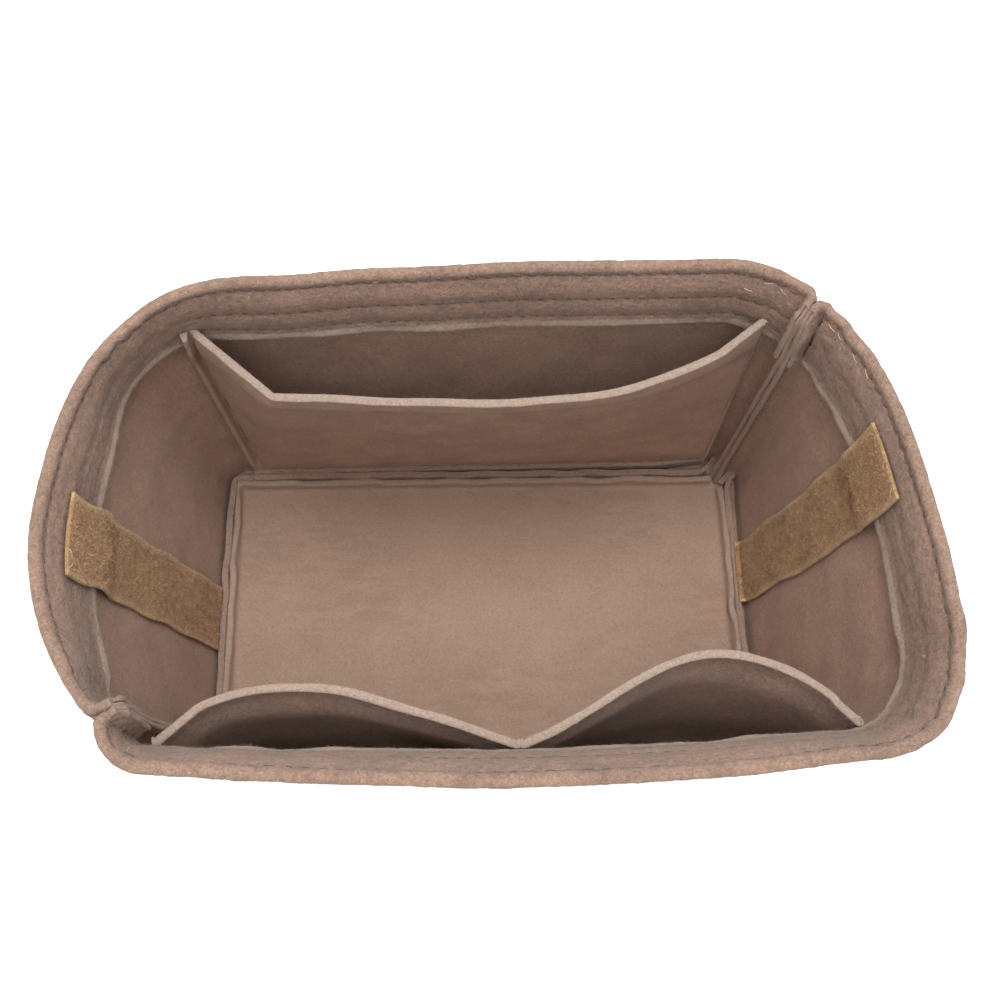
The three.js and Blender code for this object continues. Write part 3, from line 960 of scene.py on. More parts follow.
@dataclass
class Pocket:
    """A felt pocket, sewn flat to the wall along both sides and turned up in the floor seam."""

    name: str
    strip: Strip
    cut: PocketCut
    seed: int
    pull: float = 0.5 * MM
    step: float = 1.5 * MM
    seam_step: float = 0.5 * MM
    fine_side: float = 7 * MM
    seam_width: float = 1.1 * MM
    wide_seam: float = 3 * MM
    flange: float = 0.7 * MM
    squeeze: float = 0.35 * MM
    sway: Ripple = Ripple(0.045, 0.5 * MM, 0)
    fuzz: Ripple = Ripple(5 * MM, 0.06 * MM, 1, 12)
    waves: Ripple = Ripple(0.02, 0.12 * MM, 2, 12)
    felt: FeltSheet = field(init=False)

    @property
    def seam_lines(self) -> tuple[float, float]:
        """Distances of the side seams' stitches from the pocket's near and far edges."""
        return 0.6 * self.cut.near_seam, 0.6 * self.cut.seam

    def section(self) -> None:
        """Lay out the felt from its allowance's free edge, round the seam, and up the panel."""
        half = TUB.sewn_felt / 2
        low = TUB.felt + TUB.sewn_felt + 0.1 * MM
        turn = np.linspace(0, math.pi, 7)[1:-1]
        allowance = spread(TUB.welt - 0.3 * MM, low, 1.3 * MM)
        panel = np.concatenate([spread(low, self.cut.top - 8 * MM, 2.2 * MM)[:-1],
                                spread(self.cut.top - 8 * MM, self.cut.top, 0.9 * MM)])
        self.height = np.concatenate([allowance, low - half * np.sin(turn), panel])
        self.turned = np.concatenate([np.ones(len(allowance)), (1 + np.cos(turn)) / 2,
                                      np.zeros(len(panel))])
        self.first = len(allowance) + len(turn)
        self.path = so_far(np.hypot(np.diff(self.height), np.diff(self.turned) * TUB.sewn_felt))

    def at_height(self, height: float) -> float:
        """Length along the felt from the allowance's edge to a height on the panel."""
        return float(np.interp(height, self.height[self.first:], self.path[self.first:]))

    def build(self) -> Object:
        """Mesh of the pocket."""
        self.section()
        cut = self.cut
        near, far = cut.start + self.fine_side, cut.start + cut.width - self.fine_side
        u = np.concatenate([spread(cut.start, near, self.seam_step)[:-1],
                            spread(near, far, self.step),
                            spread(far, cut.start + cut.width, self.seam_step)[1:]])
        distance, height = u[:, None], self.height[None, :]
        across = np.clip((distance - cut.panel[0]) / cut.panel[1], 0, 1)
        rise = np.maximum(0, height - TUB.welt) / (cut.top - TUB.welt)
        middle = self._middle(distance, across, rise)
        for fold, seam in ((cut.far_fold(rise), 1.0), (cut.near_fold(rise), 0.0)):
            middle = self._straightened(middle, u, across, fold, seam)
        from_near, from_far = distance - cut.start, cut.start + cut.width - distance
        side = np.minimum(from_near, from_far)
        line = np.where(from_near < from_far, *self.seam_lines)
        seam = bump(side, line, self.seam_width) * np.minimum(1, line / self.wide_seam)
        groove = self.pull * seam * smooth(height, 0.01, 0.02)
        flange = self.flange * (1 - smooth(side, 0.45 * line, line))
        fuzz = self.fuzz.over(distance, height, self.seed)
        waves = self.waves.over(distance, height, self.seed)
        edges = np.maximum(1 - smooth(side, 0, 1.0 * MM), 1 - smooth(cut.top - height, 0, 0.7 * MM))
        edges = np.maximum(edges, 0.5 * self.turned * smooth(height, TUB.welt - 1.2 * MM, TUB.welt))
        thickness = TUB.sewn_felt + (TUB.felt - TUB.sewn_felt) * smooth(
            height, TUB.welt, 2.4 * TUB.welt)
        self.felt = FeltSheet(
            self.name, u, self.path, middle, thickness - self.squeeze * seam, over=fuzz * 0.5,
            under=fuzz + waves + flange - groove, cut_over=edges, cut_under=edges, nap_over=0.9,
            edge_cuts=(0.5, 1.0))
        return self.felt.mesh()

    def _middle(self, distance: Array, across: Array, rise: Array) -> Array:
        """Middle of the felt before its sides are pulled straight."""
        cut, height = self.cut, self.height[None, :]
        bulge = cut.bulge_at(across, rise)
        lean = np.sqrt(1 - (bulge / (cut.top - TUB.welt)) ** 2)
        lifted = np.where(height <= TUB.welt, height, TUB.welt + (height - TUB.welt) * lean)
        behind = layers_behind(lifted, True, False)
        loose = np.sin(math.pi * np.clip(across, 0, 1)) * smooth(rise, 0.05, 0.5)
        sway = self.sway.over(distance, height, self.seed) * loose
        room = smooth(distance, cut.start, cut.start + 6 * MM)
        sewn = 0.1 * MM + TUB.sewn_felt * (0.5 + self.turned[None, :] * room)
        free = TUB.pocket_gap + TUB.felt / 2
        foot = 1 - smooth(height, TUB.welt, 2.4 * TUB.welt)
        return self.strip.place(distance, lifted, behind,
                                free + (sewn - free) * foot + bulge * rise + sway)

    def _straightened(self, middle: Array, u: Array, across: Array,
                      fold: Array, seam: float) -> Array:
        """Panel pulled straight from a fold to one of its side seams.

        Args:
            middle: Middle of the felt.
            u: Distances of the grid's columns along the strip.
            across: Share of the width at each point.
            fold: Share of the width at which the straight part starts.
            seam: Share of the width at the seam, 0 or 1.

        Returns:
            The middle of the felt, changed between the fold and the seam.
        """
        start, reach = self.cut.panel
        columns = np.arange(fold.shape[-1])

        def read(places: Array) -> Array:
            """Points of the felt's middle at one distance for each height."""
            i = np.clip(np.searchsorted(u, places) - 1, 0, len(u) - 2)
            share = ((places - u[i]) / (u[i + 1] - u[i]))[:, None]
            return middle[i, columns] * (1 - share) + middle[i + 1, columns] * share

        at_fold = read(start + fold[0] * reach)
        at_seam = read(np.full(len(columns), start + seam * reach))
        share = np.clip((across - fold) / (seam - fold), 0, 1)[..., None]
        inside = (share > 0) & (share < 1)
        return np.where(inside, at_fold + (at_seam - at_fold) * share, middle)


# Floor


@dataclass
class FloorPanel:
    """The felt floor, with its edges turned up inside the walls.

    It is meshed as closed rings, from the underside out, up round the turned-up edge, and down
    inside it to the middle.
    """

    shift: tuple[float, float]
    name: str = "floor_felt"
    ring_count: int = 420
    rows: int = 64
    soft: float = 0.6 * MM
    fillet: float = 1.6 * MM
    corner_clip: float = 1.2 * MM
    clipped_to: tuple[float, float] = (0.2 * MM, 3.5 * MM)
    lean_span: float = 90 * MM
    uneven: Ripple = Ripple(0.016, 0.34 * MM, 72)
    uneven_step: float = 1.6 * MM
    edge_waves: Ripple = Ripple(0.03, 0.5 * MM, 71)
    edge_wave_step: float = 1.35 * MM
    swells: Ripple = Ripple(0.07, 0.3 * MM, 81)
    creases: Ripple = Ripple(0.03, 1.0, 82, 12)
    crease_depth: float = 0.3 * MM
    patches: Ripple = Ripple(0.03, 1.0, 83)

    @staticmethod
    def inner(inset: float) -> Reach:
        """Reach of the floor inside the walls and pockets, taken in."""
        felts = TUB.face_start + TUB.stack + TUB.felt + 2 * TUB.pocket_gap + inset
        return Reach(TUB.floor_reach.length - TUB.face_start - TUB.stack - TUB.gap - inset,
                     TUB.floor_reach.back - felts, TUB.floor_reach.front - felts)

    def outline(self, inset: float) -> tuple[Array, Array]:
        """Outline taken in, with two corners clipped off for the corner seams.

        Args:
            inset: How far it is taken in.

        Returns:
            The outline, and how near each of its points is to a clipped corner.
        """
        inner = self.inner(inset)
        right, back, front = inner.length, inner.back, inner.front
        radius = max(TUB.floor_corner - inset, 0.5 * MM)
        sums = {}
        for seam in Corner:
            x, y, turn = SEAMS[seam][Level.FLOOR]
            heading = towards(math.radians(turn))
            limit = TUB.point(Level.FLOOR, x, y) + heading * (
                TUB.seam_flat - TUB.floor_under_ridge + inset)
            sums[seam] = float(limit @ heading) / heading[0]
        back_sum = min(sums[Corner.BACK_RIGHT], right + back - self.corner_clip)
        front_sum = max(sums[Corner.FRONT_LEFT], -right - front + self.corner_clip)

        def rounded(x: float, y: float, start: float) -> list[Array]:
            """Quarter turn round one corner."""
            return arc(np.array([x, y]), radius, start, math.pi / 2)[0]

        outline = np.array([
            (right, back_sum - right), (back_sum - back, back),
            *rounded(-right + radius, back - radius, math.pi / 2),
            (-right, front_sum + right), (front_sum + front, -front),
            *rounded(right - radius, -front + radius, -math.pi / 2)])
        closed = np.vstack([outline, outline[:1]])
        length = line_length(closed)
        at = np.linspace(0, length[-1], self.ring_count, endpoint=False)
        even = np.stack([np.interp(at, length, closed[:, k]) for k in (0, 1)], -1)
        total = even[:, 0] + even[:, 1]
        near = np.minimum(np.abs(total - back_sum), np.abs(total - front_sum))
        return even, 1 - smooth(near, *self.clipped_to)

    def build(self) -> Object:
        """Mesh of the floor."""
        rings, cut = self._turned_up()
        edge, _ = self.outline(TUB.felt + self.fillet)
        centre = np.array([0.0, edge[:, 1].mean()])
        for row in range(1, self.rows):
            flat = centre + (edge - centre) * (1 - row / self.rows)
            rings.append(np.column_stack([flat, np.full(len(flat), TUB.felt)]))
            cut.append(0)
        grid = np.array(rings)
        inside = np.zeros(grid.shape[:2])
        inside[-self.rows + 1:] = smooth(np.arange(1, self.rows) / self.rows, 0, 0.12)[:, None]
        grid[..., 2] += inside * self._wrinkles(grid[..., 0], grid[..., 1])
        grid[..., :2] += np.array(self.shift)
        return self._mesh(grid, np.array(cut))

    def _turned_up(self) -> tuple[list[Array], list[float]]:
        """Rings of the underside and the turned-up edge, and how far each shows a cut edge."""
        soft, half, full = self.soft, TUB.felt / 2, TUB.floor_flange
        low = TUB.felt + TUB.floor_clipped_flange
        clipped = self.outline(0)[1]
        around = np.arange(self.ring_count)
        waves = self.edge_waves.over(around * self.edge_wave_step)
        top = full + (low - full) * clipped + waves * (1 - clipped)
        rings = [(half * (1 - share), half * (1 - math.sin(share * math.pi / 2)), 0)
                 for share in (0.25, 0.6, 0.9)]
        rings += [(0, half + (top - half) * share, 0) for share in (0.15, 0.5, 0.85)]
        rings += [(0, top - soft, 0.3), (soft * 0.4, top - soft * 0.25, 0.6),
                  (half, top + 0.1 * MM, 0.6), (TUB.felt - soft * 0.4, top - soft * 0.25, 0.6),
                  (TUB.felt, top - soft, 0.3)]
        foot = np.minimum(TUB.felt + self.fillet, top - soft)
        rings += [(TUB.felt, top - soft + (foot - top + soft) * share, 0)
                  for share in (0.35, 0.75)]
        rings += [(TUB.felt + self.fillet * (1 - math.cos(angle)),
                   np.minimum(TUB.felt + self.fillet * (1 - math.sin(angle)), top - soft), 0)
                  for angle in np.linspace(0, math.pi / 2, 5)]
        uneven = self.uneven.over(around * self.uneven_step)
        leaning = [self._leaning(inset, height, uneven, clipped) for inset, height, _ in rings]
        return leaning, [cut for _, _, cut in rings]

    def _leaning(self, inset: float, height: Array | float, uneven: Array,
                 clipped: Array) -> Array:
        """Ring of the turned-up edge, which leans out with the walls.

        Args:
            inset: How far it lies inside the walls.
            height: Its height.
            uneven: Waves of the upper edge.
            clipped: Share to which the edge is clipped.

        Returns:
            The ring's points.
        """
        outline, _ = self.outline(inset)
        height = np.broadcast_to(height, len(outline))
        lean_in = (uneven * smooth(height, TUB.felt, TUB.floor_flange) * (1 - clipped))[:, None]
        outline = outline * (1 - lean_in / self.lean_span)
        lean = (height / TUB.hem_edge)[:, None] * (1 - clipped)[:, None]
        front = TUB.hem_reach.front / TUB.floor_reach.front - 1
        back = TUB.hem_reach.back / TUB.floor_reach.back - 1
        grow = np.column_stack([
            np.full(len(outline), TUB.hem_reach.length / TUB.floor_reach.length - 1),
            np.where(outline[:, 1] > 0, back, front)])
        return np.column_stack([outline * (1 + lean * grow), height])

    def _wrinkles(self, x: Array, y: Array) -> Array:
        """Low swells and fine creases pressed into the floor."""
        band = smooth(y, 0.02, 0.05) + 0.5 * smooth(x, 0.05, 0.08) + 0.35
        lines = self.creases.over(x, y * 2.4)
        crease = -np.exp(-((lines / 0.1) ** 2)) * self.crease_depth
        patch = smooth(self.patches.over(x, y), 0.1, 0.9)
        return self.swells.over(x, y) + crease * band * patch

    def _mesh(self, grid: Array, cut: Array) -> Object:
        """Closed mesh of rings, with a fan in the middle above and below."""
        rows, count = grid.shape[:2]
        top, base, last = rows * count, rows * count + 1, (rows - 1) * count
        faces = ring_quads(rows, count).tolist()
        faces += [[last + at, last + (at + 1) % count, top] for at in range(count)]
        faces += [[(at + 1) % count, at, base] for at in range(count)]
        under = grid[0].mean(0) * np.array([1, 1, 0])
        points = np.vstack([grid.reshape(-1, 3), grid[-1].mean(0), under])
        cut = np.append(np.repeat(cut, count), [0, 0])
        return felt_object(self.name, points, faces, cut, np.zeros(len(cut)))


# Tapes


@dataclass
class LoopTape:
    """A strip of loop tape that lies on the hem, drops off its raw edge and runs to the welt."""

    name: str
    strip: Strip
    from_seam: float
    lean: float
    seed: int
    width: float = 25 * MM
    thickness: float = 1.0 * MM
    base_thickness: float = 1.6 * MM
    below_rim: float = 9 * MM
    over_welt: float = 0.6 * MM
    gap: float = 0.6 * MM
    lift: float = 0.25 * MM
    selvedge: float = 1.6 * MM
    over: float = 0.0
    kinks: Ripple = Ripple(0.022, 0.32 * MM, 0)
    edge_waves: Ripple = Ripple(0.034, 0.55 * MM, 1)
    weave: Ripple = Ripple(1.1 * MM, 0.035 * MM, 2, 12)
    felt: FeltSheet = field(init=False)

    def build(self) -> Object:
        """Mesh of the tape's woven base, with its selvedges and the weight of its pile."""
        top, bottom = TUB.rim - self.below_rim, TUB.welt + self.over_welt
        u = spread(-self.width / 2, self.width / 2, 0.9 * MM)
        lap = spread(0, self.over, 0.8 * MM)[:-1] if self.over else np.zeros(0)
        v = np.concatenate([bottom - self.over + lap, spread(bottom, top, 1.2 * MM)])
        over = np.maximum(bottom - v, 0)[None, :]
        across, height = u[:, None], np.maximum(v, bottom + 0.4 * MM)[None, :]
        centre = self.strip.length - self.from_seam
        behind = layers_behind(height, True, False)
        inner = self.gap + self.base_thickness / 2
        half = self.width / 2
        true = np.linalg.norm(self.strip.place(centre - half, height, behind, inner)
                              - self.strip.place(centre + half, height, behind, inner), axis=-1)
        sideways = self.lean * (top - height) / (top - bottom)
        kink = self.kinks.over(across, height, self.seed) * smooth(
            TUB.hem_edge + 6 * MM - height, 0, 12 * MM)
        edge_wave = self.edge_waves.over(height, 0.0, self.seed) * np.ones_like(across)
        middle = self.strip.place(
            centre + across * self.width / true + sideways + edge_wave, height, behind,
            inner - (self.base_thickness - self.thickness) / 2 + self.lift + kink + over)
        weave = self.weave.over(across, height, self.seed)
        self.felt = FeltSheet(self.name, u, v, middle, self.thickness, under=weave, edge=0.6)
        obj = self.felt.mesh()
        self._mark(obj.data)
        return obj

    def _mark(self, mesh: Mesh) -> None:
        """Store where the selvedges are, and where the pile grows between them."""
        rings = np.pad(self.felt.u, len(EDGE), mode="edge")
        count = len(mesh.vertices) // len(rings)
        inside = self.width / 2 - self.selvedge
        share = smooth(np.abs(rings), inside - 0.5 * MM, inside + 0.2 * MM)
        store(mesh, "selvedge", np.repeat(share, count))
        pile = np.zeros((len(rings), count))
        facing = slice(count - len(EDGE) - len(self.felt.v) + 1, count - len(EDGE) - 1)
        pile[:, facing] = (np.abs(rings) < inside)[:, None]
        store(mesh, "pile", pile)


# Node trees


@dataclass
class Wiring:
    """Adds nodes to a tree and joins them."""

    tree: NodeTree

    def feed(self, value: object, target: NodeSocket) -> None:
        """Join a socket to a target, or give the target a plain value."""
        if isinstance(value, NodeSocket):
            self.tree.links.new(value, target)
        else:
            target.default_value = value

    def add(self, kind: str, **settings: object) -> Node:
        """Add a node, with its properties and what its inputs hold.

        Args:
            kind: The node's type.
            **settings: Properties of the node, or inputs by name with _ for a space.

        Returns:
            The node.
        """
        node = self.tree.nodes.new(kind)
        for key, value in settings.items():
            if hasattr(node, key):
                setattr(node, key, value)
            else:
                self.feed(value, node.inputs[key.replace("_", " ")])
        return node

    def reckon(self, operation: str, one: object, two: object, clamp: bool = False) -> NodeSocket:
        """Result of a sum with two values.

        Args:
            operation: Kind of sum.
            one: First value, a socket or a number.
            two: Second value.
            clamp: Whether the result stays between 0 and 1.

        Returns:
            The result's socket.
        """
        node = self.add("ShaderNodeMath", operation=operation, use_clamp=clamp)
        self.feed(one, node.inputs[0])
        self.feed(two, node.inputs[1])
        return node.outputs[0]

    def times(self, one: object, two: object) -> NodeSocket:
        """Product of two values."""
        return self.reckon("MULTIPLY", one, two)

    def vector(self, x: object = 0.0, y: object = 0.0, z: object = 0.0) -> NodeSocket:
        """Vector of three values."""
        return self.add("ShaderNodeCombineXYZ", X=x, Y=y, Z=z).outputs[0]

    def span(self, source: NodeSocket, start: float, end: float, low: float = 0.3,
             high: float = 0.7) -> NodeSocket:
        """A value with the span from low to high taken to the span from start to end.

        Args:
            source: The value.
            start: Result at low and under it.
            end: Result at high and over it.
            low: Where the span starts. Noise seldom passes the usual limits.
            high: Where it ends.

        Returns:
            The result's socket.
        """
        return self.add("ShaderNodeMapRange", Value=source, From_Min=low, From_Max=high,
                        To_Min=start, To_Max=end).outputs["Result"]


# Finishes

Colour = tuple[float, float, float]


@dataclass(frozen=True)
class Pattern:
    """Noise pattern: how fine it is to the metre, and its detail, roughness and twist."""

    scale: float
    detail: float
    rough: float = 0.5
    twist: float = 0.0


class Shading(Wiring):
    """Wiring of a new material, with what the finishes share."""

    def __init__(self, name: str, **surface: object) -> None:
        """Make the material.

        Args:
            name: The material's name.
            **surface: Inputs of its surface by name, with _ for a space.
        """
        self.material = bpy.data.materials.new(name)
        self.material.use_nodes = True
        super().__init__(self.material.node_tree)
        self.surface = self.tree.nodes["Principled BSDF"].inputs
        for key, value in surface.items():
            self.feed(value, self.surface[key.replace("_", " ")])

    @cached_property
    def place(self) -> NodeSocket:
        """The piece's own coordinates."""
        return self.add("ShaderNodeTexCoord").outputs["Object"]

    def attribute(self, name: str) -> NodeSocket:
        """A value stored on the piece's points."""
        return self.add("ShaderNodeAttribute", attribute_name=name).outputs["Fac"]

    def noise(self, pattern: Pattern, over: NodeSocket | None = None) -> NodeSocket:
        """Noise over the piece's own coordinates, or over others."""
        return self.add("ShaderNodeTexNoise", Scale=pattern.scale, Detail=pattern.detail,
                        Roughness=pattern.rough, Distortion=pattern.twist,
                        Vector=self.place if over is None else over).outputs["Fac"]

    def mixed(self, share: object, one: object, two: object, kind: str = "MIX") -> NodeSocket:
        """Two colours mixed.

        Args:
            share: Share of the second colour, a socket or a number.
            one: First colour, a socket or its three values.
            two: Second colour.
            kind: Way of mixing.

        Returns:
            The mix's socket.
        """
        node = self.add("ShaderNodeMix", data_type="RGBA", blend_type=kind)
        for socket, value in zip((node.inputs[0], node.inputs[6], node.inputs[7]),
                                 (share, one, two)):
            self.feed((*value, 1.0) if isinstance(value, tuple) else value, socket)
        return node.outputs[2]

    def shaded(self, colour: object, value: NodeSocket, share: object = 1.0) -> NodeSocket:
        """A colour darkened and lightened by a value round 1."""
        grey = self.add("ShaderNodeCombineColor", Red=value, Green=value, Blue=value)
        return self.mixed(share, colour, grey.outputs[0], "MULTIPLY")

    def finished(self, colour: NodeSocket, height: NodeSocket | None = None,
                 strength: float = 0.0, distance: float = 0.0) -> Material:
        """Give the surface its colour and relief.

        Args:
            colour: The surface's colour.
            height: Height of its relief, if it has one.
            strength: How strongly the relief shows.
            distance: Depth of the relief.

        Returns:
            The material.
        """
        self.feed(colour, self.surface["Base Color"])
        if height is not None:
            relief = self.add("ShaderNodeBump", Strength=strength, Distance=distance,
                              Height=height)
            self.feed(relief.outputs["Normal"], self.surface["Normal"])
        return self.material


@dataclass(frozen=True)
class FeltFinish:
    """Needle-punched felt: fuzzy on its napped face, smoother inside, pale where it is cut."""

    name: str
    nap: Colour
    smooth: Colour
    cut: Colour
    contrast: float = 1.0
    relief: float = 1.0
    mottle: float = 0.09
    # Strength of the painted shade along fine creases.
    creases: float = 0.0
    fibre_depth: float = 0.32
    fibres: Pattern = Pattern(1300, 3, 0.65, 1.2)
    tufts: Pattern = Pattern(460, 3, 0.6, 0.8)
    blotches: Pattern = Pattern(62, 2, 0.5, 0.3)
    ragged: Pattern = Pattern(900, 2, 0.7)
    dark_specks: Pattern = Pattern(520, 1, 0.4, 0.5)
    pale_specks: Pattern = Pattern(700, 1, 0.4, 0.9)
    # Patterns of the crease lines and patches where shade is painted.
    folds: Pattern = Pattern(260, 2, 0.6, 0.4)
    folded: Pattern = Pattern(17, 1)

    def build(self) -> Material:
        """The felt's material."""
        shading = Shading(self.name, Roughness=0.95, Specular_IOR_Level=0.15, Sheen_Weight=0.12,
                          Sheen_Roughness=0.6)
        nap, cut = shading.attribute("nap"), shading.attribute("cut")
        fibres, tufts = shading.noise(self.fibres), shading.noise(self.tufts)
        depth = self.fibre_depth * self.contrast
        shade = shading.mixed(nap, self.smooth, self.nap)
        for share, pattern, dark, light in (
                (1.0, fibres, 1 - depth, 1 + depth), (nap, tufts, 0.82, 1.17),
                (1.0, shading.noise(self.blotches), 1 - self.mottle, 1 + self.mottle)):
            shade = shading.shaded(shade, shading.span(pattern, dark, light), share)
        # Painted shade along fine creases.
        if self.creases:
            shade = self._crease_shaded(shading, shade)
        for pattern, high, most, colour in (
                (self.dark_specks, 0.74, 0.35, tuple(c * 0.45 for c in self.nap)),
                (self.pale_specks, 0.76, 0.5, self.cut)):
            specks = shading.span(shading.noise(pattern), 0, most, 0.66, high)
            shade = shading.mixed(shading.times(specks, nap), shade, colour)
        ragged = shading.span(shading.noise(self.ragged), -0.25, 0.25, 0.25, 0.75)
        worn = shading.reckon(
            "ADD", shading.span(cut, 0, 1, 0.2, 0.8),
            shading.times(ragged, shading.span(cut, 0, 1, 0, 0.4)), clamp=True)
        cut_shade = shading.shaded(self.cut, shading.span(fibres, 0.7, 1.24))
        height = shading.reckon(
            "ADD", shading.times(fibres, 0.5),
            shading.times(tufts, shading.span(nap, 0.25, 1.0, 0, 1)))
        return shading.finished(shading.mixed(worn, shade, cut_shade), height,
                                0.55 * self.relief, 0.9 * MM)

    def _crease_shaded(self, shading: Shading, shade: NodeSocket) -> NodeSocket:
        """The felt's colour with painted shade along fine creases, drawn out to one side."""
        drawn = shading.add("ShaderNodeMapping", Vector=shading.place, Scale=(0.3, 1.0, 1.0),
                            Rotation=(0, 0, 0.25))
        fine = shading.noise(self.folds, drawn.outputs["Vector"])
        creases = shading.times(shading.span(fine, 0, self.creases, 0.46, 0.6),
                                shading.span(shading.noise(self.folded), 0, 1, 0.42, 0.62))
        # Painted shade: the colour goes towards a darker copy of the smooth colour along the
        # creases.
        return shading.mixed(creases, shade, tuple(c * 0.55 for c in self.smooth))


@dataclass(frozen=True)
class TapeFinish:
    """Loop tape: golden brown woven base with plain yellowish selvedges."""

    name: str
    ground: Colour
    selvedge: Colour
    grain: Pattern = Pattern(1100, 3, 0.7)
    blotches: Pattern = Pattern(210, 2)

    def build(self) -> Material:
        """The tape's material."""
        shading = Shading(self.name, Roughness=0.85, Sheen_Weight=0.2, Specular_IOR_Level=0.25)
        grain = shading.noise(self.grain)
        shade = shading.mixed(shading.attribute("selvedge"), self.ground, self.selvedge)
        for pattern, dark, light in ((grain, 0.6, 1.4),
                                     (shading.noise(self.blotches), 0.85, 1.15)):
            shade = shading.shaded(shade, shading.span(pattern, dark, light))
        return shading.finished(shade, grain, 0.6, 0.5 * MM)


@dataclass(frozen=True)
class ThreadFinish:
    """Spun thread or fibre of one colour with a slight mottle."""

    name: str
    colour: Colour
    vary: float = 0.15
    mottle: Pattern = Pattern(400, 1)

    def build(self) -> Material:
        """The thread's material."""
        shading = Shading(self.name, Roughness=0.7, Specular_IOR_Level=0.3)
        vary = shading.span(shading.noise(self.mottle), 1 - self.vary, 1 + self.vary)
        return shading.finished(shading.shaded(self.colour, vary))


# Repeats laid by Geometry Nodes


class Growth(Wiring):
    """Wiring of a Geometry Nodes tree, whose named inputs are the sizes of what it lays."""

    def __init__(self, name: str, sizes: dict[str, float]) -> None:
        """Make the tree with a geometry input and named sizes.

        Args:
            name: Name of the tree.
            sizes: Named inputs with their default values.
        """
        super().__init__(bpy.data.node_groups.new(name, "GeometryNodeTree"))
        face = self.tree.interface
        face.new_socket("Geometry", in_out="INPUT", socket_type="NodeSocketGeometry")
        self.keys = {}
        for key, value in sizes.items():
            kind = "NodeSocketInt" if isinstance(value, int) else "NodeSocketFloat"
            socket = face.new_socket(key, in_out="INPUT", socket_type=kind)
            socket.default_value = value
            self.keys[key] = socket.identifier
        face.new_socket("Geometry", in_out="OUTPUT", socket_type="NodeSocketGeometry")
        self.given = self.add("NodeGroupInput").outputs

    def read(self, name: str, kind: str) -> NodeSocket:
        """An attribute of the carrier's points."""
        return self.add("GeometryNodeInputNamedAttribute", data_type=kind, Name=name).outputs[0]

    def tube(self, path: Node, sides: int) -> NodeSocket:
        """Closed tube of the tree's thickness along a path."""
        profile = self.add("GeometryNodeCurvePrimitiveCircle", Resolution=sides,
                           Radius=self.times(self.given["Thickness"], 0.5))
        return self.add("GeometryNodeCurveToMesh", Curve=path.outputs[0],
                        Profile_Curve=profile.outputs[0], Fill_Caps=True).outputs[0]

    def random(self, kind: str, first: int, low: object, high: object,
               **more: object) -> NodeSocket:
        """A random value for each place.

        Args:
            kind: Type of the value.
            first: Number of the input that holds this type's lower limit. Each type has two
                inputs and one output, in the same order.
            low: Lower limit.
            high: Upper limit.
            **more: Other inputs of the node.

        Returns:
            The value's socket.
        """
        node = self.add("FunctionNodeRandomValue", data_type=kind, **more)
        self.feed(low, node.inputs[first])
        self.feed(high, node.inputs[first + 1])
        return node.outputs[first // 2]

    def turned(self, rotation: NodeSocket, by: NodeSocket) -> NodeSocket:
        """A rotation turned on by angles in its own frame."""
        node = self.add("FunctionNodeRotateRotation", rotation_space="LOCAL")
        self.feed(rotation, node.inputs[0])
        self.feed(by, node.inputs[1])
        return node.outputs[0]

    def lay(self, material: Material, **instances: NodeSocket) -> None:
        """End the tree in realized instances of one material."""
        laid = self.add("GeometryNodeInstanceOnPoints", **instances)
        real = self.add("GeometryNodeRealizeInstances", Geometry=laid.outputs[0])
        dressed = self.add("GeometryNodeSetMaterial", Material=material,
                           Geometry=real.outputs[0])
        self.add("NodeGroupOutput", Geometry=dressed.outputs[0])

    def grow(self, name: str, carrier: Object, sizes: dict[str, float]) -> Object:
        """Plain mesh of what the tree grows on a carrier.

        Args:
            name: Name of the piece.
            carrier: Object that carries the tree while it is evaluated.
            sizes: Values of the named inputs.

        Returns:
            The piece.
        """
        modifier = carrier.modifiers.new(name, "NODES")
        modifier.node_group = self.tree
        for key, value in sizes.items():
            modifier[self.keys[key]] = value
        graph = bpy.context.evaluated_depsgraph_get()
        made = bpy.data.meshes.new_from_object(carrier.evaluated_get(graph), depsgraph=graph)
        made.name = name
        carrier.modifiers.remove(modifier)
        return linked(name, made)


@dataclass
class ThreadRun:
    """Places of the stitches of one kind of seam, gathered over all its rows."""

    points: list[Array] = field(default_factory=list)
    along: list[Array] = field(default_factory=list)
    out: list[Array] = field(default_factory=list)

    def sew(self, felt: FeltSheet, face: Face, u: Array, v: Array, pitch: float,
            lift: float = 0.0) -> None:
        """Sew a row over a face.

        Args:
            felt: The sheet sewn on.
            face: Its face.
            u: The row's line along the sheet's first direction.
            v: The row's line along its second direction.
            pitch: Length of a stitch and the gap after it.
            lift: Height of the thread over the face.
        """
        u, v = np.broadcast_arrays(u, v)
        length = line_length(felt.on(face, u, v)[0])
        at = np.arange(pitch / 2, length[-1] - pitch / 4, pitch)

        def lying(places: Array) -> tuple[Array, Array]:
            """Points of the row and the directions out of the felt there."""
            return felt.on(face, np.interp(places, length, u), np.interp(places, length, v))

        points, out = lying(at)
        self.points.append(points + out * lift)
        self.along.append(unit(lying(at + pitch / 4)[0] - lying(at - pitch / 4)[0]))
        self.out.append(out)

    def grow(self, name: str, material: Material, sizes: dict[str, float]) -> Object:
        """Piece of all the stitches.

        Args:
            name: Name of the piece.
            material: The thread's material.
            sizes: Sizes of a stitch.

        Returns:
            The piece.
        """
        places = bpy.data.meshes.new("stitch_places")
        places.from_pydata(np.concatenate(self.points).tolist(), [], [])
        for key, vectors in (("along", self.along), ("out", self.out)):
            store(places, key, np.concatenate(vectors), "FLOAT_VECTOR", "vector")
        carrier = linked("stitch_places", places)
        piece = stitch_tree(material).grow(name, carrier, sizes)
        bpy.data.objects.remove(carrier)
        return piece


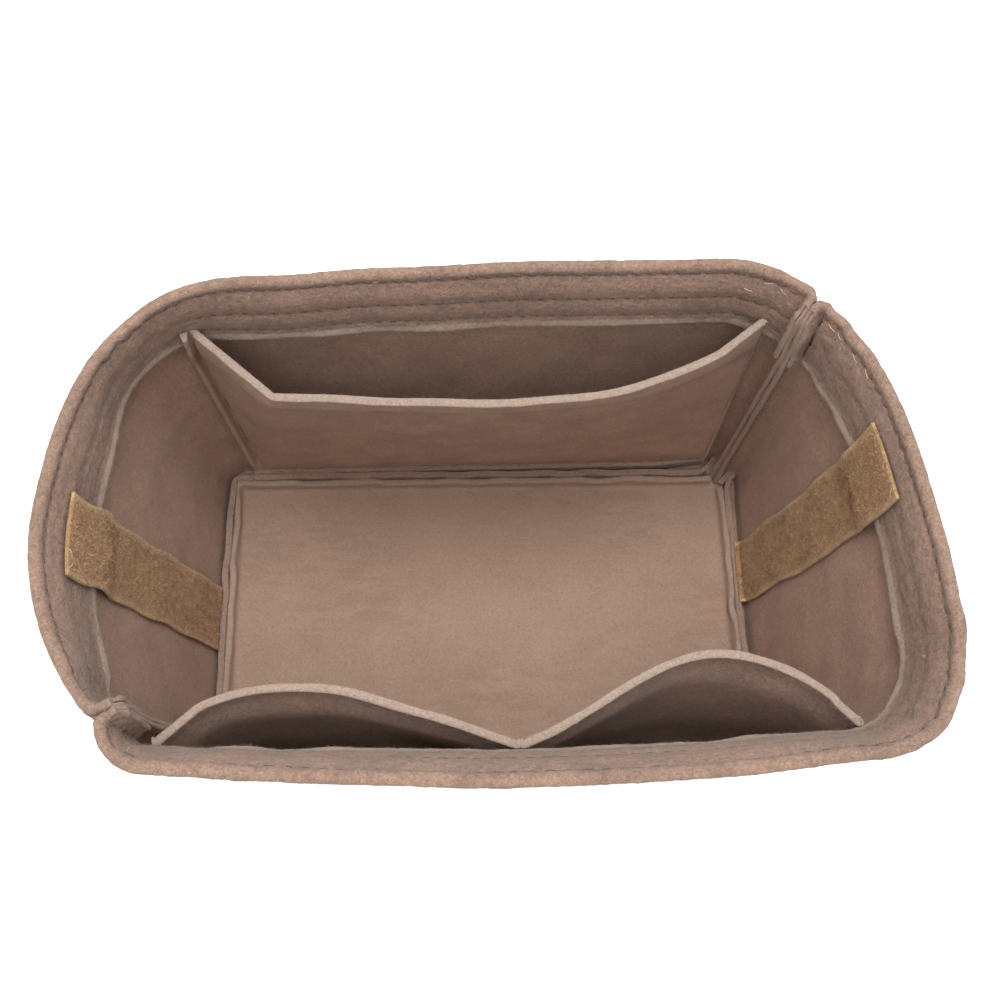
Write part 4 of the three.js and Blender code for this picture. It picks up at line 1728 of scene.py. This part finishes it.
def stitch_tree(material: Material) -> Growth:
    """Tree that lays a bent thread stitch on each carrier point.

    Args:
        material: The thread's material.

    Returns:
        The tree.
    """
    tree = Growth("lay_stitches", {
        "Length": 3.4 * MM, "Thickness": 0.55 * MM, "Dip": 0.5 * MM, "Skew": 0.12, "Seed": 3})
    given = tree.given
    sunk = tree.times(given["Dip"], -1.0)
    start, end = (tree.vector(x=tree.times(given["Length"], share), z=sunk)
                  for share in (-0.5, 0.5))
    path = tree.add("GeometryNodeCurveQuadraticBezier", Resolution=6, Start=start,
                    Middle=tree.vector(z=given["Dip"]), End=end)
    thread = tree.add("GeometryNodeSetShadeSmooth", Geometry=tree.tube(path, 6))
    first = tree.add("FunctionNodeAlignRotationToVector", axis="X",
                     Vector=tree.read("along", "FLOAT_VECTOR"))
    second = tree.add("FunctionNodeAlignRotationToVector", axis="Z", pivot_axis="X",
                      Rotation=first.outputs[0], Vector=tree.read("out", "FLOAT_VECTOR"))
    skew = tree.random("FLOAT", 2, tree.times(given["Skew"], -1.0), given["Skew"],
                       Seed=given["Seed"])
    tree.lay(material, Points=given[0], Instance=thread.outputs[0],
             Rotation=tree.turned(second.outputs[0], tree.vector(z=skew)))
    return tree


def pile_tree(material: Material, looped: bool) -> Growth:
    """Tree that scatters small fibres over faces, as loops or as loose hairs.

    Args:
        material: The fibres' material.
        looped: True for loops that return to the cloth, False for hairs.

    Returns:
        The tree.
    """
    tree = Growth("loops" if looped else "hairs", {
        "Density": 1.0e6, "Height": 0.7 * MM, "Width": 0.9 * MM, "Thickness": 0.1 * MM,
        "Lean": 0.9, "Seed": 5})
    given = tree.given
    scatter = tree.add(
        "GeometryNodeDistributePointsOnFaces", Mesh=given[0], Seed=given["Seed"],
        Density=tree.times(tree.read("pile", "FLOAT"), given["Density"]))
    rise = tree.vector(z=given["Height"])
    end = tree.vector(x=given["Width"], z=0.0 if looped else given["Height"])
    handle = end
    if looped:
        over_end = tree.add("ShaderNodeVectorMath", operation="ADD")
        tree.feed(end, over_end.inputs[0])
        tree.feed(rise, over_end.inputs[1])
        handle = over_end.outputs[0]
    path = tree.add("GeometryNodeCurvePrimitiveBezierSegment", mode="POSITION",
                    Resolution=5 if looped else 2, Start=(0, 0, 0), Start_Handle=rise,
                    End_Handle=handle, End=end)
    least, most = tree.times(given["Lean"], -1.0), given["Lean"]
    turn = tree.random("FLOAT_VECTOR", 0, tree.vector(least, least),
                       tree.vector(most, most, 2 * math.pi), Seed=given["Seed"])
    tree.lay(material, Points=scatter.outputs["Points"], Instance=tree.tube(path, 3),
             Rotation=tree.turned(scatter.outputs["Rotation"], turn),
             Scale=tree.random("FLOAT", 2, 0.55, 1.25))
    return tree


# The tub


@dataclass(frozen=True)
class LooseThread:
    """A loose thread end on the hem.

    Its place along the strip is from the first tip, or from the last one if it is negative.
    """

    along: float
    below_rim: float
    turn: float


LOOSE_THREADS: dict[str, tuple[LooseThread, ...]] = {
    "back_left_wall": (
        LooseThread(25 * MM, 4.8 * MM, -0.1), LooseThread(19 * MM, 6 * MM, 0.1),
        LooseThread(31 * MM, 9.5 * MM, 0.4), LooseThread(150 * MM, 3.8 * MM, 0.1)),
    "front_right_wall": (
        LooseThread(24 * MM, 7 * MM, 0.8), LooseThread(20 * MM, 12 * MM, 1.2),
        LooseThread(-18 * MM, 5 * MM, 0.1), LooseThread(-22 * MM, 4.8 * MM, 0.2),
        LooseThread(-30 * MM, 5 * MM, 0.1), LooseThread(-36 * MM, 4.4 * MM, 0.1))}
# Thread ends at each tape's upper end: place across it and slant, in millimetres.
TAPE_THREADS = {
    "left_loop_tape": ((6, -0.7), (9.5, 0.9)),
    "right_loop_tape": ((-9.5, 0.9), (-6, -1.2), (-1, 0.5), (7, 1.0))}

# How far each rim is eased outwards: distance along the strip and ease, in millimetres.
BACK_LEFT_EASE = (
    (0, 0), (6, 0), (13, -0.6), (22, -0.3), (40, 0.2), (105, 1.1), (150, -0.1), (183, -1.6),
    (222, 1.1), (262, -0.5), (288, 0.7), (347, 1.4), (362, 0), (380, 0))
FRONT_RIGHT_EASE = (
    (0, 0), (14, 0), (30, -0.4), (60, 0.1), (90, 0.9), (165, 0.8), (222, -2.5), (230, -2.1),
    (238, -1.2), (247, -1.8), (256, -0.9), (270, 2.3), (290, 3.6), (314, 2.7), (335, 3.1),
    (347, 2.8), (361, 0.4), (368, -2.2), (377, 0), (395, 0))


@dataclass
class Organizer:
    """The whole insert: builds its pieces in order and dresses them."""

    shift: tuple[float, float]
    felt_finish: FeltFinish = FeltFinish(
        "taupe_felt", nap=(0.255, 0.165, 0.122), smooth=(0.405, 0.255, 0.185),
        cut=(0.335, 0.255, 0.205), mottle=0.12)
    # The floor's finish paints shade along fine creases.
    floor_finish: FeltFinish = FeltFinish(
        "floor_felt_finish", nap=(0.36, 0.255, 0.2), smooth=(0.345, 0.236, 0.176),
        cut=(0.36, 0.262, 0.205), contrast=0.6, relief=0.5, mottle=0.035, creases=0.2)
    tape_finish: TapeFinish = TapeFinish(
        "loop_tape_finish", ground=(0.335, 0.195, 0.093), selvedge=(0.42, 0.27, 0.125))
    thread_finish: ThreadFinish = ThreadFinish("taupe_thread", (0.11, 0.078, 0.065))
    pale_finish: ThreadFinish = ThreadFinish("pale_thread", (0.62, 0.5, 0.4))
    pile_finish: ThreadFinish = ThreadFinish("loop_pile", (0.46, 0.285, 0.15), 0.35)
    hair_finish: ThreadFinish = ThreadFinish("felt_hair", (0.38, 0.305, 0.25), 0.25)
    seam_pitch: float = 4.2 * MM
    row_step: float = 2 * MM
    tip_seam: float = 2.2 * MM
    sunk_thread: float = -0.33 * MM
    pocket_thread: float = -0.32 * MM
    loose_length: float = 3.2 * MM
    tape_thread_length: float = 2.4 * MM

    def __post_init__(self) -> None:
        """Lay out the strips and all that is sewn to them."""
        self.panel = FloorPanel(self.shift)
        floor = self.panel.outline(0)[0] + np.array(self.shift)
        back_left = Strip((Corner.BACK_RIGHT, Corner.FRONT_LEFT), BACK_LEFT_OUTLINE, self.shift,
                          BACK_LEFT_EASE, floor)
        front_right = Strip((Corner.FRONT_LEFT, Corner.BACK_RIGHT), FRONT_RIGHT_OUTLINE,
                            self.shift, FRONT_RIGHT_EASE, floor)
        self.walls = {
            "back_left_wall": WallStrip("back_left_felt", back_left, 11),
            "front_right_wall": WallStrip("front_right_felt", front_right, 23)}
        left = PocketCut(22 * MM, 105 * MM, 121.6 * MM, 16 * MM, 0.38, 1.0 * MM, 0.12)
        right = PocketCut(127.6 * MM, 102.4 * MM, 121.6 * MM, 24 * MM, 0.57, 1.0 * MM)
        back = CreasedCut(20 * MM, 196.5 * MM, 128.5 * MM, 31 * MM, 0.46, 5.2 * MM, 0.1)
        self.pockets = {
            "back_pocket": Pocket("back_pocket_felt", back_left, back, 31, 2.3 * MM),
            "front_left_pocket": Pocket("front_left_pocket_felt", front_right, left, 37),
            "front_right_pocket": Pocket("front_right_pocket_felt", front_right, right, 41)}
        self.tapes = {
            "left_loop_tape": LoopTape("left_tape_cloth", back_left, 67 * MM, -2.8 * MM, 51),
            "right_loop_tape": LoopTape("right_tape_cloth", front_right, 62 * MM, -0.6 * MM, 57,
                                        over=2.6 * MM)}

    def settle(self, obj: Object, material: Material | None = None,
               node: str | None = None) -> None:
        """Give a piece its body and material, and hide the CAD node that it stands for.

        Args:
            obj: The piece.
            material: Its material, unless a tree has set it.
            node: The CAD node, if it stands for one.
        """
        if material is not None:
            obj.data.materials.clear()
            obj.data.materials.append(material)
        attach(obj, BODY)
        if node:
            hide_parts(node)
        LOG.info("%s: %d faces", obj.name, len(obj.data.polygons))

    def build(self) -> None:
        """Build every piece."""
        felt, floor = self.felt_finish.build(), self.floor_finish.build()
        objects = {}
        for node, wall in self.walls.items():
            objects[node] = wall.build()
            self.settle(objects[node], felt, node)
            wall.strip.length
            min(
                         wall.felt.flat_area, wall.felt.v[-1] * wall.strip.length)
        for node, pocket in self.pockets.items():
            objects[node] = pocket.build()
            self.settle(objects[node], felt, node)
        objects["floor_panel"] = self.panel.build()
        self.settle(objects["floor_panel"], floor, "floor_panel")
        cloth, pile = self.tape_finish.build(), self.pile_finish.build()
        for node, tape in self.tapes.items():
            objects[node] = tape.build()
            self.settle(objects[node], cloth, node)
            loops = pile_tree(pile, True).grow(
                objects[node].name.replace("cloth", "pile"), objects[node],
                {"Density": 1.5e6, "Height": 0.75 * MM, "Width": 0.8 * MM,
                 "Thickness": 0.15 * MM, "Lean": 0.8, "Seed": tape.seed})
            self.settle(loops)
        self.sew()
        self.loose_threads()
        self.hairs([objects[node] for node in (*self.walls, *self.pockets)])

    def sew(self) -> None:
        """Sew every seam."""
        run = ThreadRun()
        for wall in self.walls.values():
            self._sew_wall(run, wall)
        for pocket in self.pockets.values():
            cut = pocket.cut
            v = spread(pocket.at_height(10 * MM), pocket.at_height(cut.top - 1.5 * MM),
                       self.row_step)
            near, far = pocket.seam_lines
            for edge in (cut.start + near, cut.start + cut.width - far):
                run.sew(pocket.felt, Face.UNDER, edge, v, self.seam_pitch, self.pocket_thread)
        piece = run.grow("seam_thread", self.thread_finish.build(), {
            "Length": 3.2 * MM, "Thickness": 0.5 * MM, "Dip": 0.28 * MM, "Skew": 0.2, "Seed": 3})
        self.settle(piece)

    def _sew_wall(self, run: ThreadRun, wall: WallStrip) -> None:
        """Sew a strip's hem rows inside and outside, its floor seam and its two corner seams.

        Args:
            run: Thread that the rows are added to.
            wall: The strip.
        """
        length = wall.strip.length
        u = spread(1.5 * MM, length - 1.5 * MM, self.row_step)
        plain = u > sum(wall.plain_from) / 2
        for index, row in enumerate(HEM_ROWS):
            inside = wall.hem_path(row.below_rim)
            sunk = self.sunk_thread if index else 0.0
            for part, lift in ((u[~plain], 0.0), (u[plain], sunk)):
                run.sew(wall.felt, Face.UNDER, part, inside, STITCH_PITCH, lift)
            outside = wall.wall_path(TUB.rim - row.below_rim)
            run.sew(wall.felt, Face.UNDER, u, outside, STITCH_PITCH)
        base = spread(9 * MM, length - 9 * MM, self.row_step)
        run.sew(wall.felt, Face.UNDER, base, wall.wall_path(TUB.foot_row), STITCH_PITCH)
        v = spread(wall.wall_path(TUB.hem_edge - 1 * MM), wall.wall_path(10 * MM), 3 * MM)
        for end in (self.tip_seam, length - self.tip_seam):
            run.sew(wall.felt, Face.OVER, end, v, self.seam_pitch)

    def loose_threads(self) -> None:
        """Lay the pale thread ends that stand out of the hem and the tapes' ends."""
        run = ThreadRun()
        ends = np.array([-0.5, 0.5])
        for node, threads in LOOSE_THREADS.items():
            wall = self.walls[node]
            for thread in threads:
                place = thread.along if thread.along > 0 else wall.strip.length + thread.along
                path = wall.hem_path(thread.below_rim)
                run.sew(wall.felt, Face.UNDER,
                        place + ends * self.loose_length * math.cos(thread.turn),
                        path + ends * self.loose_length * math.sin(thread.turn),
                        self.loose_length, 0.25 * MM)
        for node, threads in TAPE_THREADS.items():
            felt = self.tapes[node].felt
            top = felt.v[-1] - 1.6 * MM
            for across, slant in threads:
                run.sew(felt, Face.UNDER, np.array([across - 1.1, across + 1.1]) * MM,
                        top + np.array([-slant, slant]) * MM, self.tape_thread_length, 0.3 * MM)
        piece = run.grow("loose_thread", self.pale_finish.build(), {
            "Length": 2.9 * MM, "Thickness": 0.2 * MM, "Dip": 0.25 * MM, "Skew": 0.35, "Seed": 9})
        self.settle(piece)

    def hairs(self, sheets: list[Object]) -> None:
        """Grow loose fibres out of the felt, thickest at its cut edges and rims."""
        tree = pile_tree(self.hair_finish.build(), False)
        for index, felt in enumerate(sheets):
            mesh = felt.data
            place = np.zeros(3 * len(mesh.vertices), np.float32)
            mesh.vertices.foreach_get("co", place)
            height = place[2::3]
            napped = stored(mesh, "nap") * smooth(height, 112 * MM, 122 * MM)
            store(mesh, "pile", (0.9 * stored(mesh, "cut") + 0.5 * napped) * smooth(
                height, 3 * MM, 5 * MM))
            piece = tree.grow(felt.name.replace("felt", "hairs"), felt, {
                "Density": 6.9e5, "Height": 0.45 * MM, "Width": 0.75 * MM,
                "Thickness": 0.055 * MM, "Lean": 0.6, "Seed": 60 + index})
            self.settle(piece)


# Studio


@dataclass(frozen=True)
class SoftBox:
    """Square lamp that faces the middle of the insert."""

    name: str
    place: tuple[float, float, float]
    size: float
    power: float

    def build(self) -> None:
        """Make the lamp."""
        data = bpy.data.lights.new(self.name, "AREA")
        data.shape, data.size, data.energy = "SQUARE", self.size, self.power
        lamp = bpy.data.objects.new(self.name, data)
        lamp.location = self.place
        ahead = Vector((0, 0, 50 * MM)) - lamp.location
        lamp.rotation_euler = ahead.to_track_quat("-Z", "Y").to_euler()
        bpy.context.scene.collection.objects.link(lamp)


@dataclass
class Studio:
    """Floor, lamps and camera."""

    shift: tuple[float, float]
    camera_place: tuple[float, float, float] = (-12.22 * MM, -135.18 * MM, 478.39 * MM)
    pitch: float = 67.5
    yaw: float = 5.8
    roll: float = 4.68
    focal_pixels: float = 1253.07
    picture_pixels: int = 1000
    sensor: float = 36.0
    surround_lit: float = 0.88
    floor_glow: float = 0.55
    soft_boxes: tuple[SoftBox, ...] = (
        SoftBox("soft_box_above", (0.02, 0.05, 1.35), 0.6, 12.8),
        SoftBox("soft_box_front", (-0.12, -0.6, 1.36), 0.5, 4.6))

    def build(self) -> None:
        """Make the camera, the floor and the light."""
        self._camera()
        self._floor()
        self._light()

    def _camera(self) -> None:
        """Camera at the picture's angle."""
        pitch, yaw, roll = (math.radians(a) for a in (self.pitch, self.yaw, self.roll))
        ahead = Vector((math.sin(yaw) * math.cos(pitch), math.cos(yaw) * math.cos(pitch),
                        -math.sin(pitch)))
        level = Vector((math.cos(yaw), -math.sin(yaw), 0))
        upright = level.cross(ahead)
        right = level * math.cos(roll) + upright * math.sin(roll)
        up = -level * math.sin(roll) + upright * math.cos(roll)
        data = bpy.data.cameras.new("camera")
        data.sensor_width = self.sensor
        data.lens = self.focal_pixels / self.picture_pixels * self.sensor
        data.clip_start, data.clip_end = 0.01, 20
        camera = bpy.data.objects.new("camera", data)
        turn = Matrix((right, up, -ahead)).transposed().to_4x4()
        place = Vector(self.camera_place) + Vector((*self.shift, 0))
        camera.matrix_world = Matrix.Translation(place) @ turn
        bpy.context.scene.collection.objects.link(camera)
        bpy.context.scene.camera = camera

    def _floor(self) -> None:
        """Plain white floor that keeps a soft shadow."""
        bpy.ops.mesh.primitive_plane_add(size=8)
        floor = bpy.context.object
        floor.name = "studio_floor"
        floor.location.z = -0.4 * MM
        shading = Shading("studio_white", Base_Color=(0.86, 0.86, 0.86, 1), Roughness=0.9,
                          Emission_Color=(1, 1, 1, 1))
        seen = shading.add("ShaderNodeLightPath").outputs["Is Camera Ray"]
        shading.feed(shading.times(seen, self.floor_glow), shading.surface["Emission Strength"])
        floor.data.materials.append(shading.material)

    def _light(self) -> None:
        """Even studio light: a pale surround, white where it is seen, and two soft boxes."""
        world = bpy.data.worlds.new("studio")
        bpy.context.scene.world = world
        world.use_nodes = True
        wiring = Wiring(world.node_tree)
        background = world.node_tree.nodes["Background"]
        background.inputs["Color"].default_value = (1, 1, 1, 1)
        seen = wiring.add("ShaderNodeLightPath").outputs["Is Camera Ray"]
        wiring.feed(wiring.span(seen, self.surround_lit, 1.0, 0, 1),
                    background.inputs["Strength"])
        for soft_box in self.soft_boxes:
            soft_box.build()
        bpy.context.scene.view_settings.view_transform = "Standard"


def main() -> None:
    """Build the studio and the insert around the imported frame."""
    logging.basicConfig(level=logging.INFO, format="%(name)s %(message)s")
    for obj in list(bpy.data.objects):
        bpy.data.objects.remove(obj)
    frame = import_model()
    LOG.info("nodes %s", sorted(frame["nodes"]))
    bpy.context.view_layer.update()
    inner = FloorPanel.inner(0)
    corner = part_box("floor_panel")[1]
    shift = (corner.x - inner.length, corner.y - inner.back)
    LOG.info("shift %s", shift)
    Studio(shift).build()
    Organizer(shift).build()


if __name__ == "__main__":
    main()
